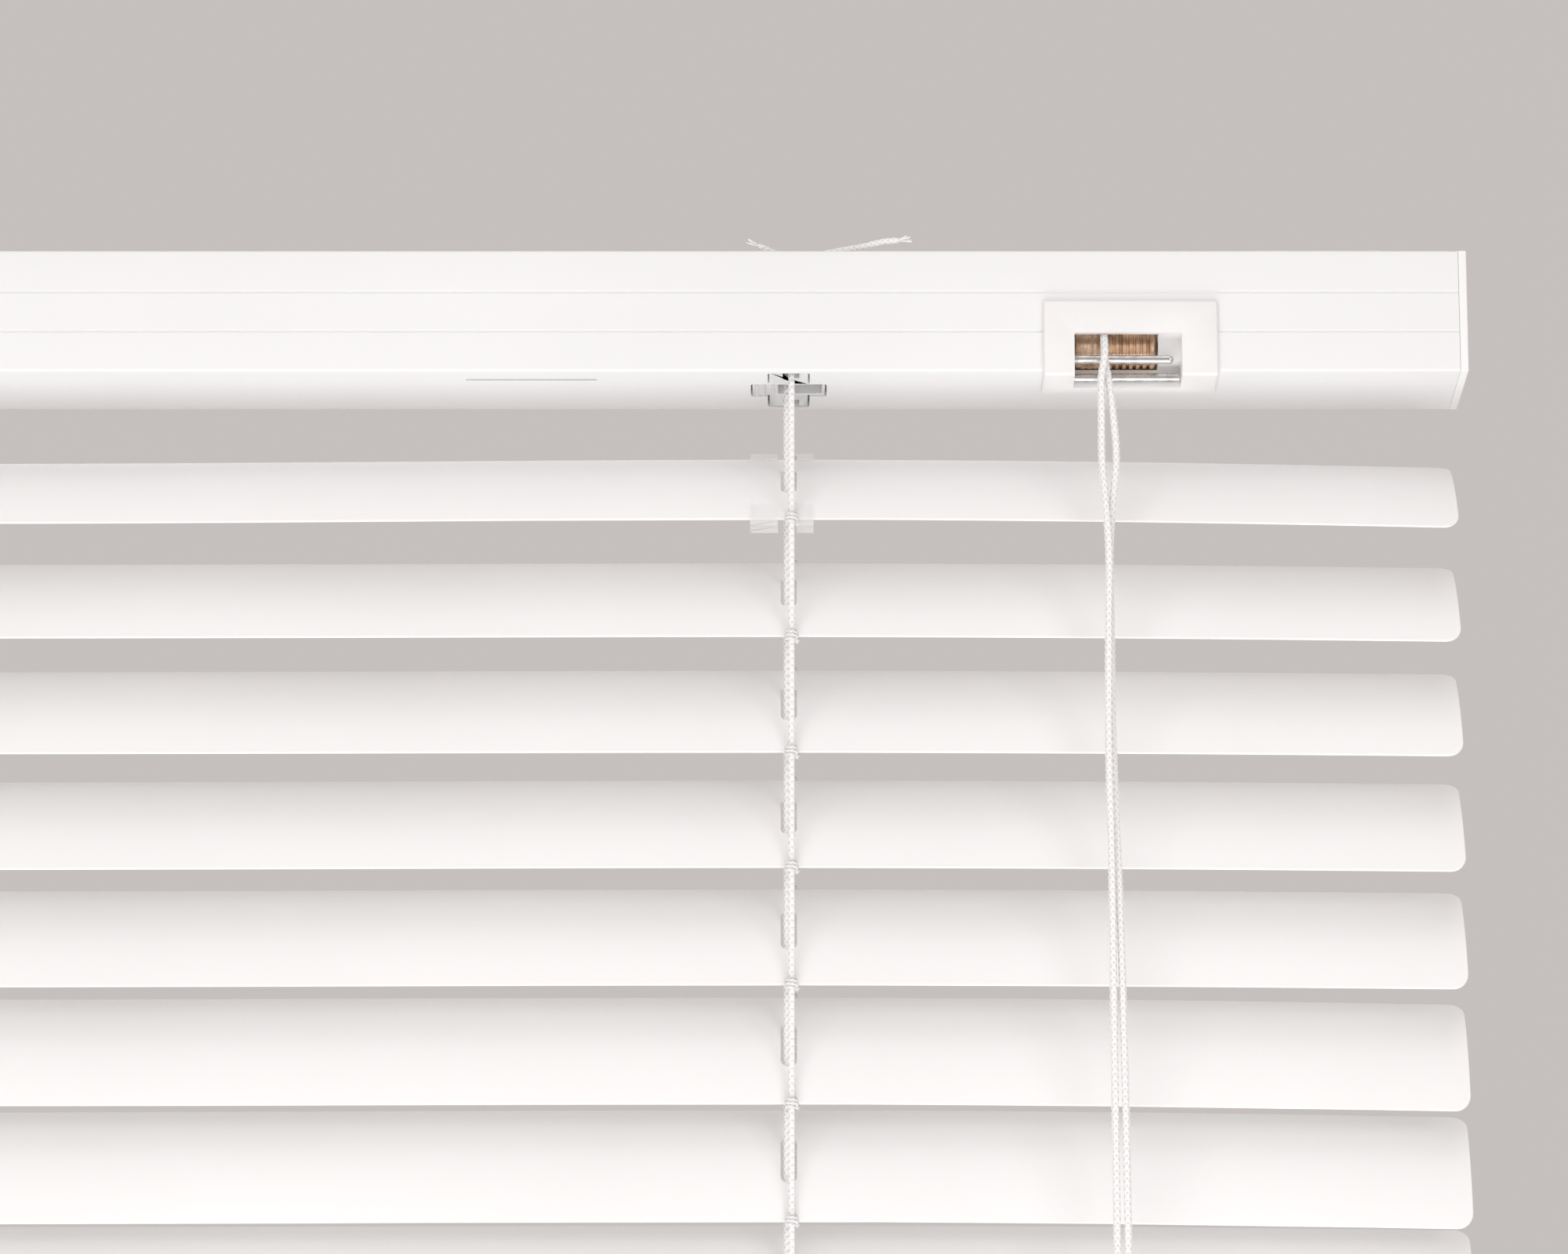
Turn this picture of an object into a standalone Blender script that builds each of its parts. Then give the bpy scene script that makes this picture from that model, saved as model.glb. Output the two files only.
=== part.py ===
"""Venetian blind with a wand tilter and a cord lock, built as separate pieces.

Metres, +Z up. The origin is the middle of the plane that both brackets are screwed up
against. +X runs along the headrail towards the cord lock, and the front faces -Y. Slats
hang nearly closed, front edge down, and the blind is fully lowered.
"""

import math

import bmesh
import bpy
from mathutils import Matrix, Vector

MM = 0.001
GAP = 0.3 * MM

# Headrail: a C channel, open at the top between two inward lips
WIDTH = 600 * MM
RAIL_TOP = -1.5 * MM
RAIL_HEIGHT = 24 * MM
RAIL_DEPTH = 25 * MM
RAIL_WALL = 1.2 * MM
LIP = 4 * MM
GROOVE_DROPS = (8.3 * MM, 16.1 * MM)
GROOVE_SIZE = 0.25 * MM
CAP_PLATE = 1.3 * MM
CAP_PLUG = 8 * MM

# Brackets
BRACKET_X = 272 * MM
BRACKET_WIDTH = 24 * MM
BRACKET_PLATE = 1.2 * MM
SCREW_RADIUS = 1.9 * MM
SCREW_SPREAD = 7 * MM

# Ladders, lift cords and slats
LADDER_X = 171 * MM
LIFT_CORD_SHIFT = -0.3 * MM
STRING_SHIFT = 0.5 * MM
RUNG_SHIFT = 1.6 * MM
STRING_RADIUS = 0.7 * MM
RUNG_RADIUS = 0.5 * MM
CORD_RADIUS = 0.8 * MM
STRING_EXIT_Y = 8.7 * MM
SLAT_COUNT = 16
SLAT_PITCH = 22 * MM
SLAT_TOP_Z = -43.4 * MM
SLAT_LENGTH = 596 * MM
SLAT_WIDTH = 25 * MM
SLAT_CROWN = 2 * MM
SLAT_THICKNESS = 0.4 * MM
ROUTE_HOLE = (3 * MM, 10 * MM)
UPPER_TILTS_DEG = (43.0, 49.0, 52.5, 54.5, 58.5, 64.5)
CLOSED_TILT_DEG = 67.0

# Tilt shaft and tilter
SHAFT_Z = -13.5 * MM
SHAFT_RADIUS = 2.3 * MM
SHAFT_LEFT = -262 * MM
SHAFT_RIGHT = 182 * MM
BORE_RADIUS = 2.6 * MM
DRUM_RADIUS = 5.5 * MM
DRUM_WIDTH = 11 * MM
TILTER_X = -235 * MM
TILTER_WIDTH = 24 * MM
GEAR_RADIUS = 4.6 * MM
GEAR_WIDTH = 5 * MM
GEAR_TEETH = 12
WORM_RADIUS = 1.9 * MM
WORM_SLOPE_DEG = 60.0
WORM_STEM_RADIUS = 1.5 * MM
WORM_BALL_RADIUS = 3 * MM
WORM_BALL_REACH = 23.5 * MM
WAND_RADIUS = 3 * MM
WAND_LENGTH = 280 * MM
HOOK_RADIUS = 0.9 * MM

# Cord lock
LOCK_LEFT = 219.3 * MM
LOCK_RIGHT = 251.9 * MM
LOCK_WINDOW = (225.2 * MM, 245.6 * MM)
LOCK_TOP = -11.8 * MM
LOCK_WINDOW_TOP = -18.2 * MM
LOCK_PLATE = 0.9 * MM
LOCK_WALL = 2.4 * MM
ROLLER_Y = -5.0 * MM
ROLLER_Z = -19.1 * MM
ROLLER_RADIUS = 3.9 * MM
ROLLER_RIGHT = 240.9 * MM
WIRE_RADIUS = 0.85 * MM
PULL_X = 230.9 * MM
TASSEL_TOP = -326 * MM
TASSEL_HEIGHT = 32 * MM
TASSEL_RADIUS = 5.2 * MM
TASSEL_Y = -18.6 * MM
TASSEL_X = 232.4 * MM

# Bottom rail
BOTTOM_TOP = -386.8 * MM
BOTTOM_HEIGHT = 10 * MM
BOTTOM_DEPTH = 24 * MM
BOTTOM_CORNER = 3 * MM

RAIL_BOTTOM = RAIL_TOP - RAIL_HEIGHT
RAIL_FLOOR = RAIL_BOTTOM + RAIL_WALL
RAIL_HALF = RAIL_DEPTH / 2
INNER_HALF = RAIL_HALF - RAIL_WALL
BODY_END = WIDTH / 2 - CAP_PLATE - GAP


def clear_scene():
    """Remove whatever the scene starts with."""
    for thing in list(bpy.data.objects):
        bpy.data.objects.remove(thing)


def new_collection(name):
    group = bpy.data.collections.new(name)
    bpy.context.scene.collection.children.link(group)
    return group


def new_material(name, colour, roughness, metallic=0.0):
    made = bpy.data.materials.new(name)
    made.use_nodes = True
    shader = made.node_tree.nodes["Principled BSDF"]
    shader.inputs["Base Color"].default_value = (*colour, 1.0)
    shader.inputs["Roughness"].default_value = roughness
    shader.inputs["Metallic"].default_value = metallic
    return made


def take(piece, group, look=None):
    """Put a piece in one collection only and give it its material."""
    for owner in list(piece.users_collection):
        owner.objects.unlink(piece)
    group.objects.link(piece)
    if look:
        piece.data.materials.clear()
        piece.data.materials.append(look)
    return piece


def block(name, low, high):
    """A box between two corners, with its size in its mesh and its origin at its middle."""
    middle = (Vector(low) + Vector(high)) / 2
    size = Vector(high) - Vector(low)
    bpy.ops.mesh.primitive_cube_add(size=1, location=middle)
    piece = bpy.context.object
    piece.name = name
    piece.data.transform(Matrix.Diagonal((*size, 1.0)))
    return piece


def rod(name, start, end, radius, sides=24):
    """A cylinder between two points."""
    along = Vector(end) - Vector(start)
    bpy.ops.mesh.primitive_cylinder_add(
        vertices=sides,
        radius=radius,
        depth=along.length,
        location=(Vector(start) + Vector(end)) / 2,
        rotation=along.to_track_quat("Z", "X").to_euler(),
    )
    piece = bpy.context.object
    piece.name = name
    piece.data.shade_smooth()
    piece.data.set_sharp_from_angle(angle=math.radians(40))
    return piece


def ball(name, centre, radius):
    bpy.ops.mesh.primitive_uv_sphere_add(segments=20, ring_count=12, radius=radius, location=centre)
    piece = bpy.context.object
    piece.name = name
    piece.data.shade_smooth()
    return piece


def solid_of(curve_object):
    """The curve's shape as a closed mesh object in the same place."""
    name = curve_object.name
    bpy.context.view_layer.update()
    graph = bpy.context.evaluated_depsgraph_get()
    mesh = bpy.data.meshes.new_from_object(curve_object.evaluated_get(graph))
    shape = bmesh.new()
    shape.from_mesh(mesh)
    bmesh.ops.remove_doubles(shape, verts=shape.verts, dist=1e-6)
    bmesh.ops.recalc_face_normals(shape, faces=shape.faces)
    shape.to_mesh(mesh)
    shape.free()
    place = curve_object.matrix_world.copy()
    bpy.data.objects.remove(curve_object)
    piece = bpy.data.objects.new(name, mesh)
    piece.matrix_world = place
    bpy.context.scene.collection.objects.link(piece)
    return piece


def flat_outline(name, outlines, thickness):
    """A closed solid from flat outlines: the first is the edge and any others are holes."""
    data = bpy.data.curves.new(name, "CURVE")
    data.dimensions = "2D"
    data.fill_mode = "BOTH"
    data.extrude = thickness / 2
    for outline in outlines:
        spline = data.splines.new("POLY")
        spline.points.add(len(outline) - 1)
        for point, (across, up) in zip(spline.points, outline):
            point.co = (across, up, 0, 1)
        spline.use_cyclic_u = True
    piece = bpy.data.objects.new(name, data)
    bpy.context.scene.collection.objects.link(piece)
    return solid_of(piece)


def profile(name, outlines, left, right):
    """A solid whose outline in Y and Z runs straight along X from left to right."""
    piece = flat_outline(name, outlines, right - left)
    piece.location = ((left + right) / 2, 0, 0)
    piece.rotation_euler = (math.pi / 2, 0, math.pi / 2)
    return piece


def tube(name, points, radius):
    """A round cord or wire through the points, with closed ends."""
    data = bpy.data.curves.new(name, "CURVE")
    data.dimensions = "3D"
    data.bevel_depth = radius
    data.bevel_resolution = 2
    data.use_fill_caps = True
    spline = data.splines.new("POLY")
    spline.points.add(len(points) - 1)
    for point, place in zip(spline.points, points):
        point.co = (*place, 1)
    piece = bpy.data.objects.new(name, data)
    bpy.context.scene.collection.objects.link(piece)
    return piece


def turned(name, outline, steps=24):
    """A solid of revolution about Z; the outline is (radius, height), outer side downwards."""
    mesh = bpy.data.meshes.new(name)
    closed = outline[0][0] > 0
    edges = [(i, i + 1) for i in range(len(outline) - 1)]
    if closed:
        edges.append((len(outline) - 1, 0))
    mesh.from_pydata([(radius, 0, height) for radius, height in outline], edges, [])
    piece = bpy.data.objects.new(name, mesh)
    bpy.context.scene.collection.objects.link(piece)
    screw = piece.modifiers.new("turn", "SCREW")
    screw.axis = "Z"
    screw.steps = steps
    screw.render_steps = steps
    screw.use_merge_vertices = True
    screw.merge_threshold = 1e-6
    return piece


def boolean(piece, tool, operation, shapes):
    """Cut a tool from a piece, or join it on. The tool stays as a hidden guide."""
    take(tool, shapes)
    tool.hide_render = True
    tool.display_type = "WIRE"
    step = piece.modifiers.new(operation.lower(), "BOOLEAN")
    step.operation = operation
    step.object = tool
    step.solver = "EXACT"
    return piece


def slat_tilt(index):
    """The tilt of a slat at rest, in degrees, front edge down."""
    return UPPER_TILTS_DEG[index] if index < len(UPPER_TILTS_DEG) else CLOSED_TILT_DEG


def slat_height(index):
    return SLAT_TOP_Z - index * SLAT_PITCH


def on_slat(index, across, up):
    """The Y and Z of a point given across and above a slat's crown, with the slat at rest."""
    angle = math.radians(slat_tilt(index))
    y = across * math.cos(angle) - up * math.sin(angle)
    z = across * math.sin(angle) + up * math.cos(angle)
    return y, slat_height(index) + z


def rounded_box(half_width, low, high, corner, steps=3):
    """A rectangle outline with round corners."""
    outline = []
    middles = (
        (half_width - corner, high - corner, 0),
        (corner - half_width, high - corner, 90),
        (corner - half_width, low + corner, 180),
        (half_width - corner, low + corner, 270),
    )
    for across, up, start in middles:
        for step in range(steps + 1):
            angle = math.radians(start + 90 * step / steps)
            outline.append((across + corner * math.cos(angle), up + corner * math.sin(angle)))
    return outline


def build_headrail(white, group, shapes):
    """The channel, with its grooves, cradle holes, slot, lock hole and tilter hole."""
    grooves = []
    for drop in GROOVE_DROPS:
        level = RAIL_TOP - drop
        grooves += [
            (-RAIL_HALF, level + GROOVE_SIZE),
            (GROOVE_SIZE - RAIL_HALF, level),
            (-RAIL_HALF, level - GROOVE_SIZE),
        ]
    lip_edge = RAIL_HALF - LIP
    lip_under = RAIL_TOP - RAIL_WALL
    outline = [
        (-lip_edge, RAIL_TOP),
        (-RAIL_HALF, RAIL_TOP),
        *grooves,
        (-RAIL_HALF, RAIL_BOTTOM),
        (RAIL_HALF, RAIL_BOTTOM),
        (RAIL_HALF, RAIL_TOP),
        (lip_edge, RAIL_TOP),
        (lip_edge, lip_under),
        (INNER_HALF, lip_under),
        (INNER_HALF, RAIL_FLOOR),
        (-INNER_HALF, RAIL_FLOOR),
        (-INNER_HALF, lip_under),
        (-lip_edge, lip_under),
    ]
    rail = profile("headrail", [outline], -BODY_END, BODY_END)
    low, high = RAIL_BOTTOM - 2 * MM, RAIL_FLOOR + 1 * MM
    for side in (-1, 1):
        x = side * LADDER_X
        wide = block("cut_arm", (x - 7.25 * MM, -4 * MM, low), (x + 7.25 * MM, 4 * MM, high))
        deep = block("cut_cross", (x - 4 * MM, -10.85 * MM, low), (x + 4 * MM, 10.85 * MM, high))
        boolean(rail, wide, "DIFFERENCE", shapes)
        boolean(rail, deep, "DIFFERENCE", shapes)
    slot = block("cut_slot", (109.5 * MM, -7.3 * MM, low), (134.5 * MM, -6.3 * MM, high))
    boolean(rail, slot, "DIFFERENCE", shapes)
    lock_low = (LOCK_WINDOW[0] - LOCK_WALL - GAP, -RAIL_HALF - 2 * MM, low)
    lock_high = (LOCK_WINDOW[1] + LOCK_WALL + GAP, -4.5 * MM, -14.8 * MM + GAP)
    boolean(rail, block("cut_lock", lock_low, lock_high), "DIFFERENCE", shapes)
    start, end = worm_point(4 * MM), worm_point(20 * MM)
    boolean(rail, rod("cut_snout", start, end, 3.4 * MM), "DIFFERENCE", shapes)
    return take(rail, group, white)


def build_end_caps(white, group, shapes):
    """A plate over each end of the channel, with a hollow plug that goes inside."""
    for side, word in ((1, "right"), (-1, "left")):
        near, far = side * (WIDTH / 2 - CAP_PLATE), side * WIDTH / 2
        deep = side * (WIDTH / 2 - CAP_PLATE - CAP_PLUG)
        cap = block(
            f"end_cap_{word}",
            (min(near, far), -RAIL_HALF, RAIL_BOTTOM),
            (max(near, far), RAIL_HALF, RAIL_TOP),
        )
        half = INNER_HALF - GAP
        top, bottom = RAIL_TOP - RAIL_WALL - GAP, RAIL_FLOOR + GAP
        inset = side * 0.5 * MM
        ends = sorted((deep, near + inset))
        plug = block("join_plug", (ends[0], -half, bottom), (ends[1], half, top))
        boolean(cap, plug, "UNION", shapes)
        wall = 1.4 * MM
        ends = sorted((deep - side * MM, near))
        hollow = block(
            "cut_plug", (ends[0], wall - half, bottom + wall), (ends[1], half - wall, top - wall)
        )
        boolean(cap, hollow, "DIFFERENCE", shapes)
        take(cap, group, white)


def build_brackets(zinc, group, shapes):
    """Two clips: a plate above the headrail, a neck between its lips and a flange under them."""
    neck = RAIL_HALF - LIP - GAP
    flange = INNER_HALF - 0.4 * MM
    under = RAIL_TOP - RAIL_WALL - GAP
    overlap = 0.3 * MM
    for side, word in ((1, "right"), (-1, "left")):
        left, right = side * BRACKET_X - BRACKET_WIDTH / 2, side * BRACKET_X + BRACKET_WIDTH / 2
        clip = block(
            f"bracket_{word}", (left, -7.8 * MM, -BRACKET_PLATE), (right, 12.2 * MM, 0)
        )
        post = block("join_neck", (left, -neck, under - overlap), (right, neck, overlap - BRACKET_PLATE))
        boolean(clip, post, "UNION", shapes)
        foot = block("join_flange", (left, -flange, under - MM), (right, flange, under))
        boolean(clip, foot, "UNION", shapes)
        for shift in (-SCREW_SPREAD, SCREW_SPREAD):
            x = side * BRACKET_X + shift
            hole = rod("cut_screw", (x, 0, -6 * MM), (x, 0, MM), SCREW_RADIUS, 16)
            boolean(clip, hole, "DIFFERENCE", shapes)
        take(clip, group, zinc)


def build_cradles(clear, group, shapes):
    """Drum cradles: a cross plug in the floor, a plate above it and two notched ears."""
    floor = RAIL_FLOOR + GAP
    plate_top = floor + 1.2 * MM
    for side, word in ((1, "right"), (-1, "left")):
        x = side * LADDER_X
        cradle = block(
            f"cradle_{word}", (x - 9.5 * MM, -10.9 * MM, floor), (x + 9.5 * MM, 10.9 * MM, plate_top)
        )
        low, high = RAIL_BOTTOM + 0.2 * MM, plate_top - 0.4 * MM
        wide = block("join_arm", (x - 6.95 * MM, -3.7 * MM, low), (x + 6.95 * MM, 3.7 * MM, high))
        deep = block("join_cross", (x - 3.7 * MM, -10.55 * MM, low), (x + 3.7 * MM, 10.55 * MM, high))
        boolean(cradle, wide, "UNION", shapes)
        boolean(cradle, deep, "UNION", shapes)
        for shift in (-1, 1):
            inner, outer = sorted((x + shift * 7 * MM, x + shift * 8.6 * MM))
            ear = block("join_ear", (inner, -5 * MM, plate_top - 0.5 * MM), (outer, 5 * MM, -9 * MM))
            boolean(cradle, ear, "UNION", shapes)
        notch = BORE_RADIUS + 0.2 * MM
        seat = rod("cut_seat", (x - 12 * MM, 0, SHAFT_Z), (x + 12 * MM, 0, SHAFT_Z), notch)
        boolean(cradle, seat, "DIFFERENCE", shapes)
        mouth = block("cut_mouth", (x - 12 * MM, -notch, SHAFT_Z), (x + 12 * MM, notch, -6 * MM))
        boolean(cradle, mouth, "DIFFERENCE", shapes)
        below, above = RAIL_BOTTOM - 1 * MM, plate_top + 1 * MM
        middle = block("cut_middle", (x - 2 * MM, -3 * MM, below), (x + 6.3 * MM, 3 * MM, above))
        boolean(cradle, middle, "DIFFERENCE", shapes)
        for inner, outer in ((-10.2 * MM, -6.9 * MM), (6.9 * MM, 10.2 * MM)):
            slot = block("cut_string", (x - 1 * MM, inner, below), (x + 2 * MM, outer, above))
            boolean(cradle, slot, "DIFFERENCE", shapes)
        take(cradle, group, clear)


def worm_point(reach):
    """A point on the tilter worm's axis, a distance down from where it passes the gear."""
    slope = math.radians(WORM_SLOPE_DEG)
    offset = GEAR_RADIUS + WORM_RADIUS + GAP
    y = -offset * math.sin(slope) - reach * math.cos(slope)
    z = SHAFT_Z + offset * math.cos(slope) - reach * math.sin(slope)
    return Vector((TILTER_X, y, z))


def build_tilt_shaft(steel, nylon, group, shapes):
    """The rod, the two ladder drums on it and the tilter's gear."""
    bar = rod("tilt_rod", (SHAFT_LEFT, 0, SHAFT_Z), (SHAFT_RIGHT, 0, SHAFT_Z), SHAFT_RADIUS, 6)
    bar.data.shade_flat()
    take(bar, group, steel)
    half, rim, edge = DRUM_WIDTH / 2, DRUM_RADIUS + 1 * MM, 1 * MM
    outline = [
        (rim, half),
        (rim, half - edge),
        (DRUM_RADIUS, half - edge),
        (DRUM_RADIUS, edge - half),
        (rim, edge - half),
        (rim, -half),
        (BORE_RADIUS, -half),
        (BORE_RADIUS, half),
    ]
    for side, word in ((1, "right"), (-1, "left")):
        drum = turned(f"drum_{word}", outline)
        drum.location = (side * LADDER_X, 0, SHAFT_Z)
        drum.rotation_euler = (0, math.pi / 2, 0)
        take(drum, group, nylon)
    teeth = []
    for step in range(GEAR_TEETH * 4):
        radius = GEAR_RADIUS if step % 4 < 2 else GEAR_RADIUS - 0.9 * MM
        angle = math.tau * (step + 0.5) / (GEAR_TEETH * 4)
        teeth.append((radius * math.cos(angle), radius * math.sin(angle)))
    bore = [
        (BORE_RADIUS * math.cos(math.tau * step / 18), BORE_RADIUS * math.sin(math.tau * step / 18))
        for step in range(18)
    ]
    gear = profile("tilt_gear", [teeth, bore], -GEAR_WIDTH / 2, GEAR_WIDTH / 2)
    gear.location = (TILTER_X, 0, SHAFT_Z)
    take(gear, group, nylon)


def build_tilter(white, steel, group, shapes):
    """The tilter's casing with its snout, and the worm with its ball end."""
    left, right = TILTER_X - TILTER_WIDTH / 2, TILTER_X + TILTER_WIDTH / 2
    half = INNER_HALF - 0.4 * MM
    casing = block(
        "tilter_housing", (left, -half, RAIL_FLOOR + 0.4 * MM), (right, half, -5.2 * MM)
    )
    snout = rod("join_snout", worm_point(7 * MM), worm_point(17 * MM), 3 * MM)
    boolean(casing, snout, "UNION", shapes)
    wall = 4 * MM
    hollow = block(
        "cut_hollow",
        (left + wall, -10 * MM, RAIL_FLOOR + 3 * MM),
        (right - wall, 8.6 * MM, -4 * MM),
    )
    boolean(casing, hollow, "DIFFERENCE", shapes)
    passage = rod("cut_shaft", (left - MM, 0, SHAFT_Z), (right + MM, 0, SHAFT_Z), BORE_RADIUS + GAP)
    boolean(casing, passage, "DIFFERENCE", shapes)
    bore = rod("cut_bore", worm_point(4 * MM), worm_point(19 * MM), WORM_STEM_RADIUS + GAP, 16)
    boolean(casing, bore, "DIFFERENCE", shapes)
    take(casing, group, white)

    worm = rod("tilter_worm", worm_point(-4 * MM), worm_point(3.5 * MM), WORM_RADIUS)
    ball_at = worm_point(WORM_BALL_REACH)
    stem = rod("join_stem", worm_point(3 * MM), ball_at, WORM_STEM_RADIUS, 16)
    boolean(worm, stem, "UNION", shapes)
    boolean(worm, ball("join_ball", ball_at, WORM_BALL_RADIUS), "UNION", shapes)
    take(worm, group, steel)


def build_wand(clear, steel, group, shapes):
    """The wire hook round the worm's ball and the six-sided wand that hangs from it."""
    pivot = worm_point(WORM_BALL_REACH)
    reach = WORM_BALL_RADIUS + HOOK_RADIUS + 0.4 * MM
    points = []
    for step in range(9):
        angle = math.radians(150 + step * (270 - 150) / 8)
        points.append(pivot + Vector((0, reach * math.cos(angle), reach * math.sin(angle))))
    points.append(pivot + Vector((0, 0, -reach - 5 * MM)))
    hook = tube("wand_hook", points, HOOK_RADIUS)
    take(hook, group, steel)
    top = pivot + Vector((0, 0, -reach - 5 * MM - GAP))
    wand = rod("wand", top, top - Vector((0, 0, WAND_LENGTH)), WAND_RADIUS, 6)
    wand.data.shade_flat()
    take(wand, group, clear)


def build_cord_lock(white, brass, steel, group, shapes):
    """The lock's frame over the front lower edge, its roller and its bent wire."""
    front = -RAIL_HALF - GAP
    under = RAIL_BOTTOM - GAP
    left, right = LOCK_WINDOW[0] - LOCK_WALL, LOCK_WINDOW[1] + LOCK_WALL
    frame = block(
        "cord_lock_housing",
        (LOCK_LEFT, front - LOCK_PLATE, under - LOCK_PLATE),
        (LOCK_RIGHT, front, LOCK_TOP),
    )
    foot = block(
        "join_foot",
        (LOCK_LEFT, front - LOCK_PLATE, under - LOCK_PLATE),
        (LOCK_RIGHT, -1.5 * MM, under),
    )
    boolean(frame, foot, "UNION", shapes)
    neck = block("join_neck", (left, front - 0.5 * MM, under - 0.5 * MM), (right, -4.8 * MM, -14.8 * MM))
    boolean(frame, neck, "UNION", shapes)
    body = block("join_body", (left, -11 * MM, RAIL_FLOOR + 0.4 * MM), (right, MM, -11 * MM))
    boolean(frame, body, "UNION", shapes)
    window = block(
        "cut_window",
        (LOCK_WINDOW[0], -16 * MM, RAIL_BOTTOM - 3 * MM),
        (LOCK_WINDOW[1], -5.5 * MM, LOCK_WINDOW_TOP),
    )
    boolean(frame, window, "DIFFERENCE", shapes)
    cavity = block(
        "cut_cavity",
        (LOCK_WINDOW[0], -12.5 * MM, RAIL_FLOOR + 1.1 * MM),
        (ROLLER_RIGHT + GAP, -0.3 * MM, -9 * MM),
    )
    boolean(frame, cavity, "DIFFERENCE", shapes)
    take(frame, group, white)

    start = LOCK_WINDOW[0] + GAP
    roller = rod(
        "lock_roller", (start, ROLLER_Y, ROLLER_Z), (ROLLER_RIGHT, ROLLER_Y, ROLLER_Z), ROLLER_RADIUS
    )
    take(roller, group, brass)

    pin_y, pin_z, bar_y, bar_z = -11.3 * MM, -22.9 * MM, -6.8 * MM, -24.5 * MM
    bend = LOCK_WINDOW[0] + GAP + WIRE_RADIUS
    wire = [
        (244.1 * MM, pin_y, pin_z),
        (bend + 1.2 * MM, pin_y, pin_z),
        (bend + 0.3 * MM, pin_y + 0.6 * MM, pin_z - 0.2 * MM),
        (bend, pin_y + 1.7 * MM, pin_z - 0.6 * MM),
        (bend, bar_y - 1.5 * MM, bar_z + 0.5 * MM),
        (bend + 0.4 * MM, bar_y - 0.4 * MM, bar_z + 0.1 * MM),
        (bend + 1.4 * MM, bar_y, bar_z),
        (245 * MM, bar_y, bar_z),
    ]
    take(tube("lock_wire", wire, WIRE_RADIUS), group, steel)


def slat_mesh(shapes):
    """One curved slat about its crown line, with its two route holes."""
    radius = (SLAT_WIDTH**2 / 4 + SLAT_CROWN**2) / (2 * SLAT_CROWN)
    half_angle = math.asin(SLAT_WIDTH / 2 / radius)
    steps = 8
    outline = []
    for offset, turn in ((SLAT_THICKNESS / 2, 1), (-SLAT_THICKNESS / 2, -1)):
        for step in range(steps + 1):
            angle = turn * half_angle * (1 - 2 * step / steps)
            across = (radius + offset) * math.sin(angle)
            outline.append((across, (radius + offset) * math.cos(angle) - radius))
    slat = profile("slat_pattern", [outline], -SLAT_LENGTH / 2, SLAT_LENGTH / 2)
    wide, long = ROUTE_HOLE
    for side in (-1, 1):
        hole = rounded_box(wide / 2, -long / 2, long / 2, wide / 2, 4)
        cutter = flat_outline("cut_route", [hole], 10 * MM)
        cutter.location = (side * LADDER_X, 0, 0)
        boolean(slat, cutter, "DIFFERENCE", shapes)
    bpy.context.view_layer.update()
    graph = bpy.context.evaluated_depsgraph_get()
    mesh = bpy.data.meshes.new_from_object(slat.evaluated_get(graph))
    mesh.transform(slat.matrix_world)
    bpy.data.objects.remove(slat)
    return mesh


def build_slats(white, group, shapes):
    mesh = slat_mesh(shapes)
    mesh.materials.clear()
    mesh.materials.append(white)
    for index in range(SLAT_COUNT):
        slat = bpy.data.objects.new(f"slat_{index + 1:02d}", mesh)
        slat.location = (0, 0, slat_height(index))
        slat.rotation_euler = (math.radians(slat_tilt(index)), 0, 0)
        group.objects.link(slat)


def build_ladders(string, group):
    """Front and rear strings of both ladders, and the right ladder's rungs."""
    reach = STRING_RADIUS + SLAT_THICKNESS / 2 + 0.2 * MM
    for side, word in ((1, "right"), (-1, "left")):
        x = side * LADDER_X + STRING_SHIFT
        for face, place in ((-1, "front"), (1, "rear")):
            points = [
                (x, face * 7.6 * MM, SHAFT_Z - MM),
                (x, face * STRING_EXIT_Y, RAIL_FLOOR + 4 * MM),
                (x, face * STRING_EXIT_Y, RAIL_BOTTOM - MM),
            ]
            for index in range(SLAT_COUNT):
                y, z = on_slat(index, face * SLAT_WIDTH / 2, -SLAT_CROWN)
                points.append((x, y + face * reach, z))
            points.append((x, points[-1][1], BOTTOM_TOP + GAP))
            take(tube(f"ladder_{place}_{word}", points, STRING_RADIUS), group, string)
    rung_half = SLAT_WIDTH / 2 - 0.5 * MM
    drop = SLAT_CROWN + SLAT_THICKNESS / 2 + GAP + RUNG_RADIUS
    for index in range(1, SLAT_COUNT - 1):
        x = LADDER_X + RUNG_SHIFT
        ends = [(x, *on_slat(index, across, -drop)) for across in (-rung_half, rung_half)]
        take(tube(f"rung_{index + 1:02d}", ends, RUNG_RADIUS), group, string)


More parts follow.
